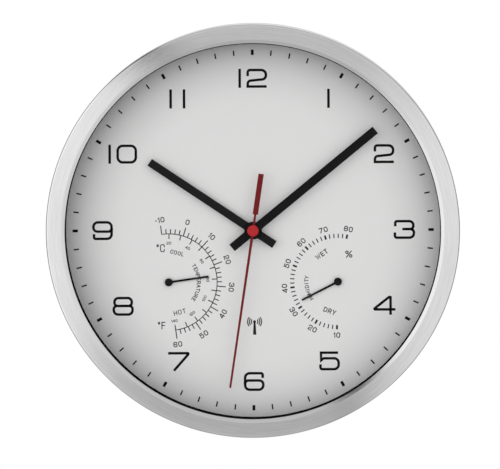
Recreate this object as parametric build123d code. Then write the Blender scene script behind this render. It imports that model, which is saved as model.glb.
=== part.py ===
from build123d import *
import math
import os

# Round wall clock with a bimetal thermometer and a hair hygrometer on its dial.
# Lengths are millimetres. The pieces are drawn in the dial's plane: x to three o'clock, y to
# twelve o'clock and z out of the wall, which is z = 0. The last section turns them upright.

# Bezel: a spun aluminium ring
CASE_RADIUS = 125.0
BEZEL_WALL = 1.2
BEZEL_FACE_WIDTH = 11.4
BEZEL_SLOPE_WIDTH = 2.1
BEZEL_FACE_DROP = 1.8
BEZEL_CREST_RISE = 1.3
BEZEL_LIP = 1.2
BEZEL_EDGE_RADIUS = 1.5

# Lens, its gasket and the spacer ring under it
LENS_THICKNESS = 2.0
LENS_CLEARANCE = 0.6
GASKET_THICKNESS = 0.4
GASKET_INSET = 0.8
GASKET_REACH = 0.5
SPACER_REACH = 0.4
SPACER_WALL = 1.5
SPACER_FLANGE = 1.5
SPACER_FLANGE_RIM = 0.7
SPACER_BOSS_RADIUS = 2.4

# Dial
DIAL_THICKNESS = 1.0
DIAL_CLEARANCE = 0.5
DIAL_HOLE_CLEARANCE = 0.2

# Rear case
BACK_WALL = 2.0
FLANGE_INSET = 0.6
FLANGE_EDGE_RADIUS = 0.6
SHELL_CLEARANCE = 0.5
SHELL_WALL = 1.5
SHELL_OVERLAP = 14.0
SUPPORT_WALL = 2.0
SUPPORT_INSET = 0.3
OPENING_CLEARANCE = 0.5
FRAME_WALL = 1.6
FRAME_HEIGHT = 6.0
VENT_COUNT = 5
VENT_WIDTH = 2.0
VENT_LENGTH = 18.0
VENT_PITCH = 4.4

# Marks sunk into the back: two grooves, an arrow that points up, pole signs and rings round the buttons
MARK_DEPTH = 0.4
GROOVE_WIDTH = 1.2
OUTER_GROOVE_INSET = 9.7
INNER_GROOVE_INSET = 58.5
ARROW_GAP = 1.5
ARROW_LENGTH = 8.0
ARROW_WIDTH = 10.0
POLE_MARK_GAP = 3.2
POLE_MARK_LENGTH = 4.2
POLE_MARK_WIDTH = 1.0
BUTTON_RING_GAP = 0.8
BUTTON_RING_WIDTH = 0.5

# Screws that hold the rear case to the spacer ring
CASE_SCREW_COUNT = 6
CASE_SCREW_RADIUS = 1.3
CASE_SCREW_HEAD_RADIUS = 2.5
CASE_SCREW_HEAD = 1.8
CASE_SCREW_DEPTH = 12.0
CASE_SCREW_GRIP = 8.0
CASE_SCREW_GAP = 0.3
COUNTERBORE_CLEARANCE = 0.4
COUNTERBORE_WALL = 0.7

# Cross recesses of large and small screws: half length of an arm, width and depth
LARGE_CROSS = (1.6, 0.6, 0.7)
SMALL_CROSS = (1.2, 0.5, 0.5)

# Fits: radial clearances of screws, pressed pieces, pivots and bearings, and of a screw in its boss
HOLE_CLEARANCE = 0.3
PRESS_CLEARANCE = 0.02
RUNNING_CLEARANCE = 0.05
PILOT_CLEARANCE = 0.03

# Steel keyhole plate on the rear case
HANGER_DROP = 33.0
HANGER_WIDTH = 30.0
HANGER_LENGTH = 42.0
HANGER_THICKNESS = 1.2
HANGER_SINK = 1.2
HANGER_CLEARANCE = 0.2
HANGER_BLOCK_WALL = 1.6
HANGER_CORNER_RADIUS = 3.0
KEYHOLE_RADIUS = 4.5
KEYHOLE_DROP = 6.0
KEYHOLE_RISE = 7.0
KEYHOLE_SLOT = 4.6
POCKET_DEPTH = 6.6
POCKET_MARGIN = 3.0
POCKET_FLOOR = 1.5
HANGER_SCREW_RADIUS = 0.9
HANGER_SCREW_HEAD_RADIUS = 2.0
HANGER_SCREW_HEAD = 0.9
HANGER_SCREW_LENGTH = 4.0
HANGER_SCREW_INSET = 3.4

# Movement case
MOVEMENT_WALL = 1.5
MOVEMENT_HALF_WIDTH = 36.0
COVER_THICKNESS = 1.5
TRAIN_BOTTOM = 12.0
BUSH_WALL = 0.75
BUSH_RISE = 0.6
POST_RADIUS = 2.2
POST_SIDE_MARGIN = 1.3
POST_TOP_MARGIN = 0.8
POST_LOW_MARGIN = 2.5
COVER_SCREW_RADIUS = 1.1
COVER_SCREW_HEAD_RADIUS = 1.9
COVER_SCREW_HEAD = 0.9
COVER_SCREW_GRIP = 4.0
EAR_HEIGHT_ON_SIDE = 8.0
EAR_WIDTH = 8.0
EAR_REACH = 7.0
EAR_THICKNESS = 2.0
EAR_BOSS_RADIUS = 2.8
EAR_SCREW_OFFSET = 3.8
EAR_SCREW_RADIUS = 1.1
EAR_SCREW_HEAD_RADIUS = 2.2
EAR_SCREW_HEAD = 1.2
EAR_SCREW_GRIP = 7.0

# Battery and its bay
BATTERY_RADIUS = 7.25
BATTERY_LENGTH = 50.5
BATTERY_NUB_RADIUS = 2.75
BATTERY_NUB = 1.0
BATTERY_EDGE_RADIUS = 0.8
BATTERY_PLAY = 0.4
BATTERY_SINK = 1.05
BAY_WALL = 1.2
BAY_TOP_GAP = 1.35
BAY_BOTTOM_GAP = 0.95
CONTACT_THICKNESS = 0.4
CONTACT_DEPTH = 1.6
CONTACT_WIDTH = 8.0
CONTACT_GAP = 0.05
CONTACT_FOOT = 0.6

# Wheel train: involute teeth with straight chords for flanks
PRESSURE_ANGLE = 25.0
ADDENDUM = 0.75
DEDENDUM = 1.05
TOOTH_THINNING = 0.05
WHEEL_THICKNESS = 1.0
LAYER_GAP = 0.4
FRONT_GAP = 0.2
PINION_OVERLAP = 0.1
PIN_RADIUS = 0.5
HUB_WALL = 0.5
TRAIN_PLATE = 1.5
HOUR_MODULE = 0.3
CANNON_TEETH = 15
MOTION_TEETH = 45
MOTION_PINION_TEETH = 12
HOUR_TEETH = 48
MINUTE_MODULE = 0.2
MINUTE_TEETH = 80
MINUTE_THIRD_PINION_TEETH = 10
MINUTE_ROTOR_MODULE = 0.16
MINUTE_THIRD_TEETH = 75
MINUTE_ROTOR_TEETH = 10
SECOND_MODULE = 0.2
SECOND_TEETH = 60
SECOND_THIRD_PINION_TEETH = 10
SECOND_THIRD_TEETH = 50
SECOND_ROTOR_TEETH = 10
MOTION_BEARING = 180.0
MINUTE_THIRD_BEARING = 30.0
MINUTE_ROTOR_BEARING = 60.0
SECOND_THIRD_BEARING = 90.0
SECOND_ROTOR_BEARING = 120.0

# Hand arbors, one inside the other
SECOND_ARBOR_RADIUS = 0.5
MINUTE_PIPE_WALL = 1.05
HOUR_PIPE_WALL = 0.9
PIPE_END = 0.1

# Stepping motors
MAGNET_RADIUS = 2.5
MAGNET_OVERHANG = 0.8
ROTOR_SHAFT_RADIUS = 0.4
ROTOR_PIVOT = 0.6
ROTOR_PIVOT_END_GAP = 0.3
STATOR_AIR_GAP = 0.4
STATOR_POLE = 4.4
STATOR_LEG = 3.5
STATOR_END = 5.2
MOTOR_SIDE_GAP = 5.5
CORE_HEIGHT = 3.5
CORE_THICKNESS = 1.0
COIL_RADIUS = 2.9
COIL_POLE_GAP = 0.25
COIL_FLANGE = 0.8
COIL_FLANGE_RISE = 0.35
COIL_END_GAP = 0.8
COIL_CORE_CLEARANCE = 0.1
STATOR_PAD_RADIUS = 1.5

# Circuit board and what is on it
BOARD_THICKNESS = 1.2
BOARD_STANDOFF = 2.0
BOARD_STANDOFF_RADIUS = 1.5
BOARD_STANDOFF_INSET = 3.0
BOARD_SIDE_GAP = 1.8
BOARD_LOW_INSET = 2.0
CHIP_SIZE = 8.0
CHIP_HEIGHT = 1.2
CHIP_PLACE = (12.0, 8.0)
CRYSTAL_RADIUS = 1.0
CRYSTAL_LENGTH = 6.0
CRYSTAL_PLACE = (12.0, -4.0)
CRYSTAL_EDGE_RADIUS = 0.25
SWITCH_SIZE = 4.5
SWITCH_HEIGHT = 1.5
SWITCH_STEM_RADIUS = 1.1
SWITCH_STEM = 0.6

# Push buttons in the back cover
BUTTON_ROW = 14.0
BUTTON_INSET = 7.0
BUTTON_PITCH = 8.0
BUTTON_RADIUS = 2.0
BUTTON_CLEARANCE = 0.1
BUTTON_SINK = 0.4
BUTTON_FLANGE_RADIUS = 2.8
BUTTON_FLANGE = 0.7
BUTTON_STEM_RADIUS = 1.4
BUTTON_STEM = 1.2
BUTTON_TRAVEL = 0.8
BUTTON_REST_GAP = 0.1

# Ferrite aerial
AERIAL_END_GAP = 0.8
AERIAL_SIDE = 3.6
AERIAL_TOP_GAP = 0.7
AERIAL_COIL_LENGTH = 24.0
AERIAL_COIL_BUILD = 0.65
AERIAL_COIL_GAP = 0.9
CRADLE_PLACE = 20.0
CRADLE_THICKNESS = 2.0
CRADLE_HEIGHT = 3.2

# Hands: gaps from the tips to the bezel's lip, tails, widths and heights above the dial
HOUR_HAND_RISE = 3.2
HAND_STEP = 2.0
HAND_THICKNESS = 0.5
HAND_HUB_RADIUS = 5.35
HAND_EDGE_CHAMFER = 0.12
HOUR_HAND_TIP_GAP = 38.7
HOUR_HAND_TAIL = 15.5
HOUR_HAND_WIDTH = 4.9
HOUR_HAND_ANGLE = 303.7
MINUTE_HAND_TIP_GAP = 17.8
MINUTE_HAND_TAIL = 16.4
MINUTE_HAND_WIDTH = 5.2
MINUTE_HAND_ANGLE = 50.75
SECOND_HAND_TIP_GAP = 17.45
SECOND_HAND_ROOT_WIDTH = 1.65
SECOND_HAND_TIP_WIDTH = 1.25
SECOND_HAND_NECK = 10.0
SECOND_HAND_NECK_WIDTH = 1.4
SECOND_HAND_TAIL = 34.8
SECOND_HAND_TAIL_WIDTH = 3.25
SECOND_HAND_THICKNESS = 0.4
SECOND_HAND_HUB_RADIUS = 3.0
SECOND_HAND_ANGLE = 188.5
SECOND_CAP_RADIUS = 3.5
SECOND_CAP_HEIGHT = 1.2
SECOND_CAP_EDGE = 1.0
SECOND_CAP_ROOF = 0.6
COLLET_WALL = 1.0
COLLET_LENGTH = 1.0
LENS_GAP = 2.8

# Thermometer and hygrometer
GAUGE_SIDE_GAP = 2.7
GAUGE_DROP = 31.3
GAUGE_CUP_RADIUS = 12.5
GAUGE_CUP_WALL = 1.0
GAUGE_CUP_DEPTH = 11.0
GAUGE_BRIDGE = 1.0
GAUGE_BRIDGE_WIDTH = 5.0
GAUGE_ARBOR_RADIUS = 0.5
GAUGE_ARBOR_TAIL = 0.4
GAUGE_DIAL_HOLE = 1.2
SPIRAL_THICKNESS = 0.4
SPIRAL_WIDTH = 4.0
SPIRAL_INNER_RADIUS = 2.0
SPIRAL_PITCH = 2.0
SPIRAL_HALF_TURNS = 8
SPIRAL_BACK_GAP = 2.0
SPIRAL_END_GAP = 0.05
SPIRAL_POST_RADIUS = 0.9
NEEDLE_LENGTH = 24.4
NEEDLE_ROOT_WIDTH = 1.3
NEEDLE_TIP_WIDTH = 1.15
NEEDLE_THICKNESS = 0.3
NEEDLE_RISE = 0.9
NEEDLE_HUB_RADIUS = 2.4
NEEDLE_HUB_RISE = 0.6
NEEDLE_HUB_HEIGHT = 1.6
NEEDLE_HUB_EDGE = 0.6
NEEDLE_HUB_ROOF = 0.5
THERMOMETER_ANGLE = 82.0
HYGROMETER_ANGLE = 243.0

# Heights above the wall, from the push buttons through the wheel train out to the bezel
SWITCH_TOP = COVER_THICKNESS + BUTTON_STEM + BUTTON_REST_GAP + BUTTON_TRAVEL
BOARD_BACK = SWITCH_TOP + SWITCH_STEM + SWITCH_HEIGHT
BOARD_FRONT = BOARD_BACK + BOARD_THICKNESS
PLATE_BACK = BOARD_FRONT + BOARD_STANDOFF
PLATE_FRONT = PLATE_BACK + TRAIN_PLATE


def layer(number):
    """Back and front of a wheel layer, counted from the train plate."""
    back = PLATE_FRONT + LAYER_GAP + number * (WHEEL_THICKNESS + LAYER_GAP)
    return back, back + WHEEL_THICKNESS


SECOND_THIRD_LAYER = layer(0)
SECOND_LAYER = layer(1)
MINUTE_THIRD_LAYER = layer(2)
MINUTE_LAYER = layer(3)
MOTION_LAYER = layer(4)
HOUR_LAYER = layer(5)
Z_MOVEMENT_FRONT = HOUR_LAYER[1] + FRONT_GAP
MOVEMENT_DEPTH = Z_MOVEMENT_FRONT + MOVEMENT_WALL
Z_DIAL_BACK = MOVEMENT_DEPTH + DIAL_CLEARANCE
Z_DIAL = Z_DIAL_BACK + DIAL_THICKNESS
Z_HOUR_HAND = Z_DIAL + HOUR_HAND_RISE
Z_MINUTE_HAND = Z_HOUR_HAND + HAND_STEP
Z_SECOND_HAND = Z_MINUTE_HAND + HAND_STEP
Z_SECOND_CAP = Z_SECOND_HAND + SECOND_HAND_THICKNESS
Z_LENS = Z_SECOND_CAP + SECOND_CAP_HEIGHT + LENS_GAP
Z_GASKET = Z_LENS + LENS_THICKNESS
Z_SEAT = Z_GASKET + GASKET_THICKNESS
Z_LIP = Z_SEAT + BEZEL_LIP
Z_CREST = Z_LIP + BEZEL_CREST_RISE

# Radii of the case, from the bezel inwards, and the reach of the hands
LIP_RADIUS = CASE_RADIUS - BEZEL_FACE_WIDTH
BEZEL_BORE = CASE_RADIUS - BEZEL_WALL
LENS_RADIUS = BEZEL_BORE - LENS_CLEARANCE
SPACER_RADIUS = LIP_RADIUS - SPACER_REACH
SPACER_FLANGE_RADIUS = LENS_RADIUS - LENS_CLEARANCE
SCREW_CIRCLE = SPACER_FLANGE_RADIUS - SPACER_FLANGE_RIM - SPACER_BOSS_RADIUS
DIAL_RADIUS = SCREW_CIRCLE - SPACER_BOSS_RADIUS - CASE_SCREW_GAP
SHELL_RADIUS = BEZEL_BORE - SHELL_CLEARANCE
SUPPORT_RADIUS = DIAL_RADIUS - SUPPORT_INSET
HOUR_HAND_LENGTH = LIP_RADIUS - HOUR_HAND_TIP_GAP
MINUTE_HAND_LENGTH = LIP_RADIUS - MINUTE_HAND_TIP_GAP
SECOND_HAND_LENGTH = LIP_RADIUS - SECOND_HAND_TIP_GAP
COUNTERBORE_RADIUS = CASE_SCREW_HEAD_RADIUS + COUNTERBORE_CLEARANCE

# Concentric hand arbors
MINUTE_PIPE_BORE = SECOND_ARBOR_RADIUS + RUNNING_CLEARANCE
MINUTE_PIPE_RADIUS = MINUTE_PIPE_BORE + MINUTE_PIPE_WALL
HOUR_PIPE_BORE = MINUTE_PIPE_RADIUS + RUNNING_CLEARANCE
HOUR_PIPE_RADIUS = HOUR_PIPE_BORE + HOUR_PIPE_WALL
BUSH_BORE = HOUR_PIPE_RADIUS + 2 * RUNNING_CLEARANCE
BUSH_RADIUS = BUSH_BORE + BUSH_WALL

# Places of the two gauges, beside the movement
GAUGE_OFFSET = MOVEMENT_HALF_WIDTH + GAUGE_CUP_RADIUS + GAUGE_SIDE_GAP
GAUGE_PLACES = {"thermometer": (-GAUGE_OFFSET, -GAUGE_DROP), "hygrometer": (GAUGE_OFFSET, -GAUGE_DROP)}
GAUGE_ANGLES = {"thermometer": THERMOMETER_ANGLE, "hygrometer": HYGROMETER_ANGLE}


# Simple solids and placing
def disc(radius, low, high, place=(0, 0)):
    return Pos(place[0], place[1], (low + high) / 2) * Cylinder(radius, high - low)


def tube(inner, outer, low, high, place=(0, 0)):
    return disc(outer, low, high, place) - disc(inner, low, high, place)


def block(left, right, bottom, top, low, high):
    middle = Pos((left + right) / 2, (bottom + top) / 2, (low + high) / 2)
    return middle * Box(right - left, top - bottom, high - low)


def plate(points, low, high):
    return Pos(0, 0, low) * extrude(make_face(Polyline(*points, close=True)), high - low)


def turned(points):
    """A ring from the outline (radius, height) of its section."""
    return revolve(Plane.XZ * make_face(Polyline(*points, close=True)), Axis.Z)


def at_each(places, shape):
    group = Part()
    for place in places:
        group += Pos(place[0], place[1], 0) * shape
    return group


def polar(distance, degrees, start=(0, 0)):
    angle = math.radians(degrees)
    return (start[0] + distance * math.cos(angle), start[1] + distance * math.sin(angle))


def around(count, distance):
    return [polar(distance, 360 * n / count) for n in range(count)]


def clockwise(shape, degrees, place=(0, 0)):
    """The shape, drawn pointing to twelve, turned clockwise and set at its place on the dial."""
    return Pos(place[0], place[1], 0) * Rot(0, 0, -degrees) * shape


# Wheel train geometry
def centre_distance(teeth, other_teeth, module):
    return (teeth + other_teeth) * module / 2


MOTION_PLACE = polar(centre_distance(CANNON_TEETH, MOTION_TEETH, HOUR_MODULE), MOTION_BEARING)
MINUTE_THIRD_PLACE = polar(
    centre_distance(MINUTE_TEETH, MINUTE_THIRD_PINION_TEETH, MINUTE_MODULE), MINUTE_THIRD_BEARING
)
MINUTE_ROTOR_PLACE = polar(
    centre_distance(MINUTE_THIRD_TEETH, MINUTE_ROTOR_TEETH, MINUTE_ROTOR_MODULE),
    MINUTE_ROTOR_BEARING,
    MINUTE_THIRD_PLACE,
)
SECOND_THIRD_PLACE = polar(
    centre_distance(SECOND_TEETH, SECOND_THIRD_PINION_TEETH, SECOND_MODULE), SECOND_THIRD_BEARING
)
SECOND_ROTOR_PLACE = polar(
    centre_distance(SECOND_THIRD_TEETH, SECOND_ROTOR_TEETH, SECOND_MODULE),
    SECOND_ROTOR_BEARING,
    SECOND_THIRD_PLACE,
)

# Movement outline: coils above the poles, the aerial above the coils and the battery bay below
CORE_MIDDLE = SECOND_ROTOR_PLACE[1] + STATOR_POLE + COIL_POLE_GAP + COIL_RADIUS
CORE_BOTTOM = CORE_MIDDLE - CORE_HEIGHT / 2
CORE_TOP = CORE_MIDDLE + CORE_HEIGHT / 2
AERIAL_BOTTOM = CORE_MIDDLE + COIL_RADIUS + AERIAL_COIL_GAP + AERIAL_COIL_BUILD
AERIAL_TOP = AERIAL_BOTTOM + AERIAL_SIDE
AERIAL_FRONT = Z_MOVEMENT_FRONT - CRADLE_HEIGHT
AERIAL_BACK = AERIAL_FRONT - AERIAL_SIDE
MOVEMENT_TOP = AERIAL_TOP + AERIAL_TOP_GAP + MOVEMENT_WALL
BATTERY_Y = -(TRAIN_BOTTOM + BAY_TOP_GAP + BAY_WALL + BATTERY_PLAY + BATTERY_RADIUS)
BATTERY_Z = BATTERY_SINK + BATTERY_RADIUS
BAY_HALF_HEIGHT = BATTERY_RADIUS + BATTERY_PLAY
BAY_HALF_LENGTH = BATTERY_LENGTH / 2 + CONTACT_GAP + CONTACT_DEPTH
BAY_FLOOR = BATTERY_Z + BATTERY_RADIUS + BATTERY_PLAY
MOVEMENT_BOTTOM = BATTERY_Y - BAY_HALF_HEIGHT - BAY_WALL - BAY_BOTTOM_GAP - MOVEMENT_WALL
MOTOR_REACH = MOVEMENT_HALF_WIDTH - MOVEMENT_WALL - MOTOR_SIDE_GAP
POST_X = MOVEMENT_HALF_WIDTH - MOVEMENT_WALL - POST_RADIUS - POST_SIDE_MARGIN
POST_TOP_Y = MOVEMENT_TOP - MOVEMENT_WALL - POST_RADIUS - POST_TOP_MARGIN
POST_LOW_Y = POST_LOW_MARGIN - TRAIN_BOTTOM
POSTS = [(x, y) for x in (-POST_X, POST_X) for y in (POST_LOW_Y, POST_TOP_Y)]
AERIAL_HALF_LENGTH = POST_X - POST_RADIUS - AERIAL_END_GAP
EAR_SCREW_X = MOVEMENT_HALF_WIDTH + EAR_SCREW_OFFSET
EAR_SCREWS = [(side * EAR_SCREW_X, EAR_HEIGHT_ON_SIDE) for side in (-1, 1)]
EAR_FRONT = Z_MOVEMENT_FRONT
EAR_BACK = EAR_FRONT - EAR_THICKNESS


def involute(angle):
    return math.tan(angle) - angle


def gear(teeth, module, tooth_at, levels, place=(0, 0), overlap=0.0):
    """A spur gear with one tooth centred at the bearing tooth_at, between two levels."""
    pitch = teeth * module / 2
    base = pitch * math.cos(math.radians(PRESSURE_ANGLE))
    tip = pitch + ADDENDUM * module
    root = pitch - DEDENDUM * module
    half_tooth = math.pi / (2 * teeth) - TOOTH_THINNING / (2 * pitch) + involute(math.radians(PRESSURE_ANGLE))

    def flank(radius):
        return half_tooth - involute(math.acos(min(1.0, base / radius)))

    radii = [root, base, pitch, tip] if base > root else [root, pitch, tip]
    outline = []
    for tooth in range(teeth):
        middle = math.radians(tooth_at) + 2 * math.pi * tooth / teeth
        rising = [(radius, middle - flank(radius)) for radius in radii]
        falling = [(radius, middle + flank(radius)) for radius in reversed(radii)]
        outline += [(radius * math.cos(a), radius * math.sin(a)) for radius, a in rising + falling]
    return Pos(place[0], place[1], 0) * plate(outline, levels[0] - overlap, levels[1] + overlap)


def driven(teeth, module, bearing, levels, place=(0, 0), overlap=0.0):
    """A gear with a gap between teeth where a gear that stands at the bearing meets it."""
    return gear(teeth, module, bearing + 180 / teeth, levels, place, overlap)


# Case
def bezel_ring():
    section = [
        (CASE_RADIUS, BACK_WALL),
        (CASE_RADIUS, Z_CREST - BEZEL_FACE_DROP),
        (LIP_RADIUS + BEZEL_SLOPE_WIDTH, Z_CREST),
        (LIP_RADIUS, Z_LIP),
        (LIP_RADIUS, Z_SEAT),
        (BEZEL_BORE, Z_SEAT),
        (BEZEL_BORE, BACK_WALL),
    ]
    ring = turned(section)
    outer_edge = ring.edges().filter_by(GeomType.CIRCLE).filter_by(
        lambda edge: abs(edge.radius - CASE_RADIUS) < BEZEL_WALL / 2 and edge.center().Z > Z_LENS
    )
    return fillet(outer_edge, BEZEL_EDGE_RADIUS)


def lens_gasket():
    return tube(LIP_RADIUS - GASKET_REACH, LENS_RADIUS - GASKET_INSET, Z_GASKET, Z_SEAT)


def front_lens():
    return disc(LENS_RADIUS, Z_LENS, Z_GASKET)


def spacer_ring():
    wall = tube(SPACER_RADIUS, SPACER_RADIUS + SPACER_WALL, Z_DIAL, Z_LENS)
    flange = tube(SPACER_RADIUS, SPACER_FLANGE_RADIUS, Z_LENS - SPACER_FLANGE, Z_LENS)
    bosses = at_each(around(CASE_SCREW_COUNT, SCREW_CIRCLE), disc(SPACER_BOSS_RADIUS, Z_DIAL_BACK, Z_LENS))
    pilot = disc(CASE_SCREW_RADIUS + PILOT_CLEARANCE, Z_DIAL_BACK, Z_LENS - SPACER_FLANGE)
    return wall + flange + bosses - at_each(around(CASE_SCREW_COUNT, SCREW_CIRCLE), pilot)


def dial_plate():
    sheet = disc(DIAL_RADIUS, Z_DIAL_BACK, Z_DIAL)
    sheet -= disc(BUSH_RADIUS + DIAL_HOLE_CLEARANCE, Z_DIAL_BACK, Z_DIAL)
    return sheet - at_each(GAUGE_PLACES.values(), disc(GAUGE_DIAL_HOLE, Z_DIAL_BACK, Z_DIAL))


def movement_outline(margin, low, high):
    return block(
        -MOVEMENT_HALF_WIDTH - margin,
        MOVEMENT_HALF_WIDTH + margin,
        MOVEMENT_BOTTOM - margin,
        MOVEMENT_TOP + margin,
        low,
        high,
    )


def rear_case():
    flange = disc(CASE_RADIUS - FLANGE_INSET, 0, BACK_WALL)
    rim = flange.edges().filter_by(GeomType.CIRCLE).sort_by(Axis.Z)[0]
    body = fillet(rim, FLANGE_EDGE_RADIUS)
    body += tube(SHELL_RADIUS - SHELL_WALL, SHELL_RADIUS, 0, BACK_WALL + SHELL_OVERLAP)
    body += tube(SUPPORT_RADIUS - SUPPORT_WALL, SUPPORT_RADIUS, 0, Z_DIAL_BACK)
    boss = disc(COUNTERBORE_RADIUS + COUNTERBORE_WALL, 0, Z_DIAL_BACK)
    body += at_each(around(CASE_SCREW_COUNT, SCREW_CIRCLE), boss) & disc(SHELL_RADIUS, 0, Z_DIAL_BACK)
    body += movement_outline(OPENING_CLEARANCE + FRAME_WALL, 0, BACK_WALL + FRAME_HEIGHT)
    body += at_each(EAR_SCREWS, disc(EAR_BOSS_RADIUS, 0, EAR_BACK))
    body += hanger_block()
    body -= movement_outline(OPENING_CLEARANCE, 0, BACK_WALL + FRAME_HEIGHT)
    body -= at_each(around(CASE_SCREW_COUNT, SCREW_CIRCLE), case_screw_hole())
    pilot = disc(EAR_SCREW_RADIUS + PILOT_CLEARANCE, EAR_BACK - EAR_SCREW_GRIP, EAR_BACK)
    body -= at_each(EAR_SCREWS, pilot)
    body -= hanger_recess()
    body -= case_marks()
    return body - at_each(GAUGE_PLACES.values(), vents())


def case_marks():
    half = GROOVE_WIDTH / 2
    marks = Part()
    for radius in (CASE_RADIUS - OUTER_GROOVE_INSET, CASE_RADIUS - INNER_GROOVE_INSET):
        marks += tube(radius - half, radius + half, 0, MARK_DEPTH)
    tip = CASE_RADIUS - INNER_GROOVE_INSET - half - ARROW_GAP
    foot = tip - ARROW_LENGTH
    return marks + plate([(0, tip), (-ARROW_WIDTH / 2, foot), (ARROW_WIDTH / 2, foot)], 0, MARK_DEPTH)


def case_screw_hole():
    hole = disc(COUNTERBORE_RADIUS, 0, CASE_SCREW_DEPTH)
    return hole + disc(CASE_SCREW_RADIUS + HOLE_CLEARANCE, 0, Z_DIAL_BACK)


def vents():
    slot = extrude(SlotOverall(VENT_LENGTH, VENT_WIDTH), BACK_WALL)
    first = -VENT_PITCH * (VENT_COUNT - 1) / 2
    return at_each([(0, first + n * VENT_PITCH) for n in range(VENT_COUNT)], slot)


def case_screws():
    seat = CASE_SCREW_DEPTH
    screw = disc(CASE_SCREW_HEAD_RADIUS, seat - CASE_SCREW_HEAD, seat)
    screw += disc(CASE_SCREW_RADIUS, seat, Z_DIAL_BACK + CASE_SCREW_GRIP)
    screw -= cross_recess(seat - CASE_SCREW_HEAD, LARGE_CROSS)
    return at_each(around(CASE_SCREW_COUNT, SCREW_CIRCLE), screw)


def cross_recess(head_back, cross):
    """Cross-shaped recess for a screwdriver in a head that faces the wall."""
    arm, width, depth = cross
    across = block(-arm, arm, -width / 2, width / 2, head_back, head_back + depth)
    return across + block(-width / 2, width / 2, -arm, arm, head_back, head_back + depth)


# Keyhole plate
def hanger_outline(margin, low, high):
    outline = RectangleRounded(
        HANGER_WIDTH + 2 * margin, HANGER_LENGTH + 2 * margin, HANGER_CORNER_RADIUS + margin
    )
    return Pos(0, HANGER_HEIGHT_ON_WALL, low) * extrude(outline, high - low)


HANGER_HEIGHT_ON_WALL = CASE_RADIUS - HANGER_DROP
HANGER_BACK = HANGER_SINK
HANGER_FRONT = HANGER_SINK + HANGER_THICKNESS
POCKET_END = HANGER_FRONT + POCKET_DEPTH
KEYHOLE_ENTRY = HANGER_HEIGHT_ON_WALL - KEYHOLE_DROP
KEYHOLE_HANG = HANGER_HEIGHT_ON_WALL + KEYHOLE_RISE
HANGER_SCREWS = [
    (side * (HANGER_WIDTH / 2 - HANGER_SCREW_INSET), HANGER_HEIGHT_ON_WALL) for side in (-1, 1)
]


def hanger_block():
    return hanger_outline(HANGER_CLEARANCE + HANGER_BLOCK_WALL, 0, POCKET_END + POCKET_FLOOR)


def hanger_recess():
    recess = hanger_outline(HANGER_CLEARANCE, 0, HANGER_FRONT)
    recess += block(
        -KEYHOLE_RADIUS - POCKET_MARGIN,
        KEYHOLE_RADIUS + POCKET_MARGIN,
        KEYHOLE_ENTRY - KEYHOLE_RADIUS - POCKET_MARGIN,
        KEYHOLE_HANG + KEYHOLE_SLOT / 2 + POCKET_MARGIN,
        HANGER_BACK,
        POCKET_END,
    )
    pilot = disc(HANGER_SCREW_RADIUS + PILOT_CLEARANCE, HANGER_BACK, HANGER_FRONT + HANGER_SCREW_LENGTH)
    return recess + at_each(HANGER_SCREWS, pilot)


def hanger_plate():
    body = hanger_outline(0, HANGER_BACK, HANGER_FRONT)
    body -= disc(KEYHOLE_RADIUS, HANGER_BACK, HANGER_FRONT, (0, KEYHOLE_ENTRY))
    half_slot = KEYHOLE_SLOT / 2
    body -= block(-half_slot, half_slot, KEYHOLE_ENTRY, KEYHOLE_HANG, HANGER_BACK, HANGER_FRONT)
    body -= disc(half_slot, HANGER_BACK, HANGER_FRONT, (0, KEYHOLE_HANG))
    hole = disc(HANGER_SCREW_RADIUS + HOLE_CLEARANCE, HANGER_BACK, HANGER_FRONT)
    return body - at_each(HANGER_SCREWS, hole)


def hanger_screws():
    screw = disc(HANGER_SCREW_HEAD_RADIUS, HANGER_BACK - HANGER_SCREW_HEAD, HANGER_BACK)
    screw += disc(HANGER_SCREW_RADIUS, HANGER_BACK, HANGER_FRONT + HANGER_SCREW_LENGTH)
    recess = cross_recess(HANGER_BACK - HANGER_SCREW_HEAD, SMALL_CROSS)
    return at_each(HANGER_SCREWS, screw - recess)


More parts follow.
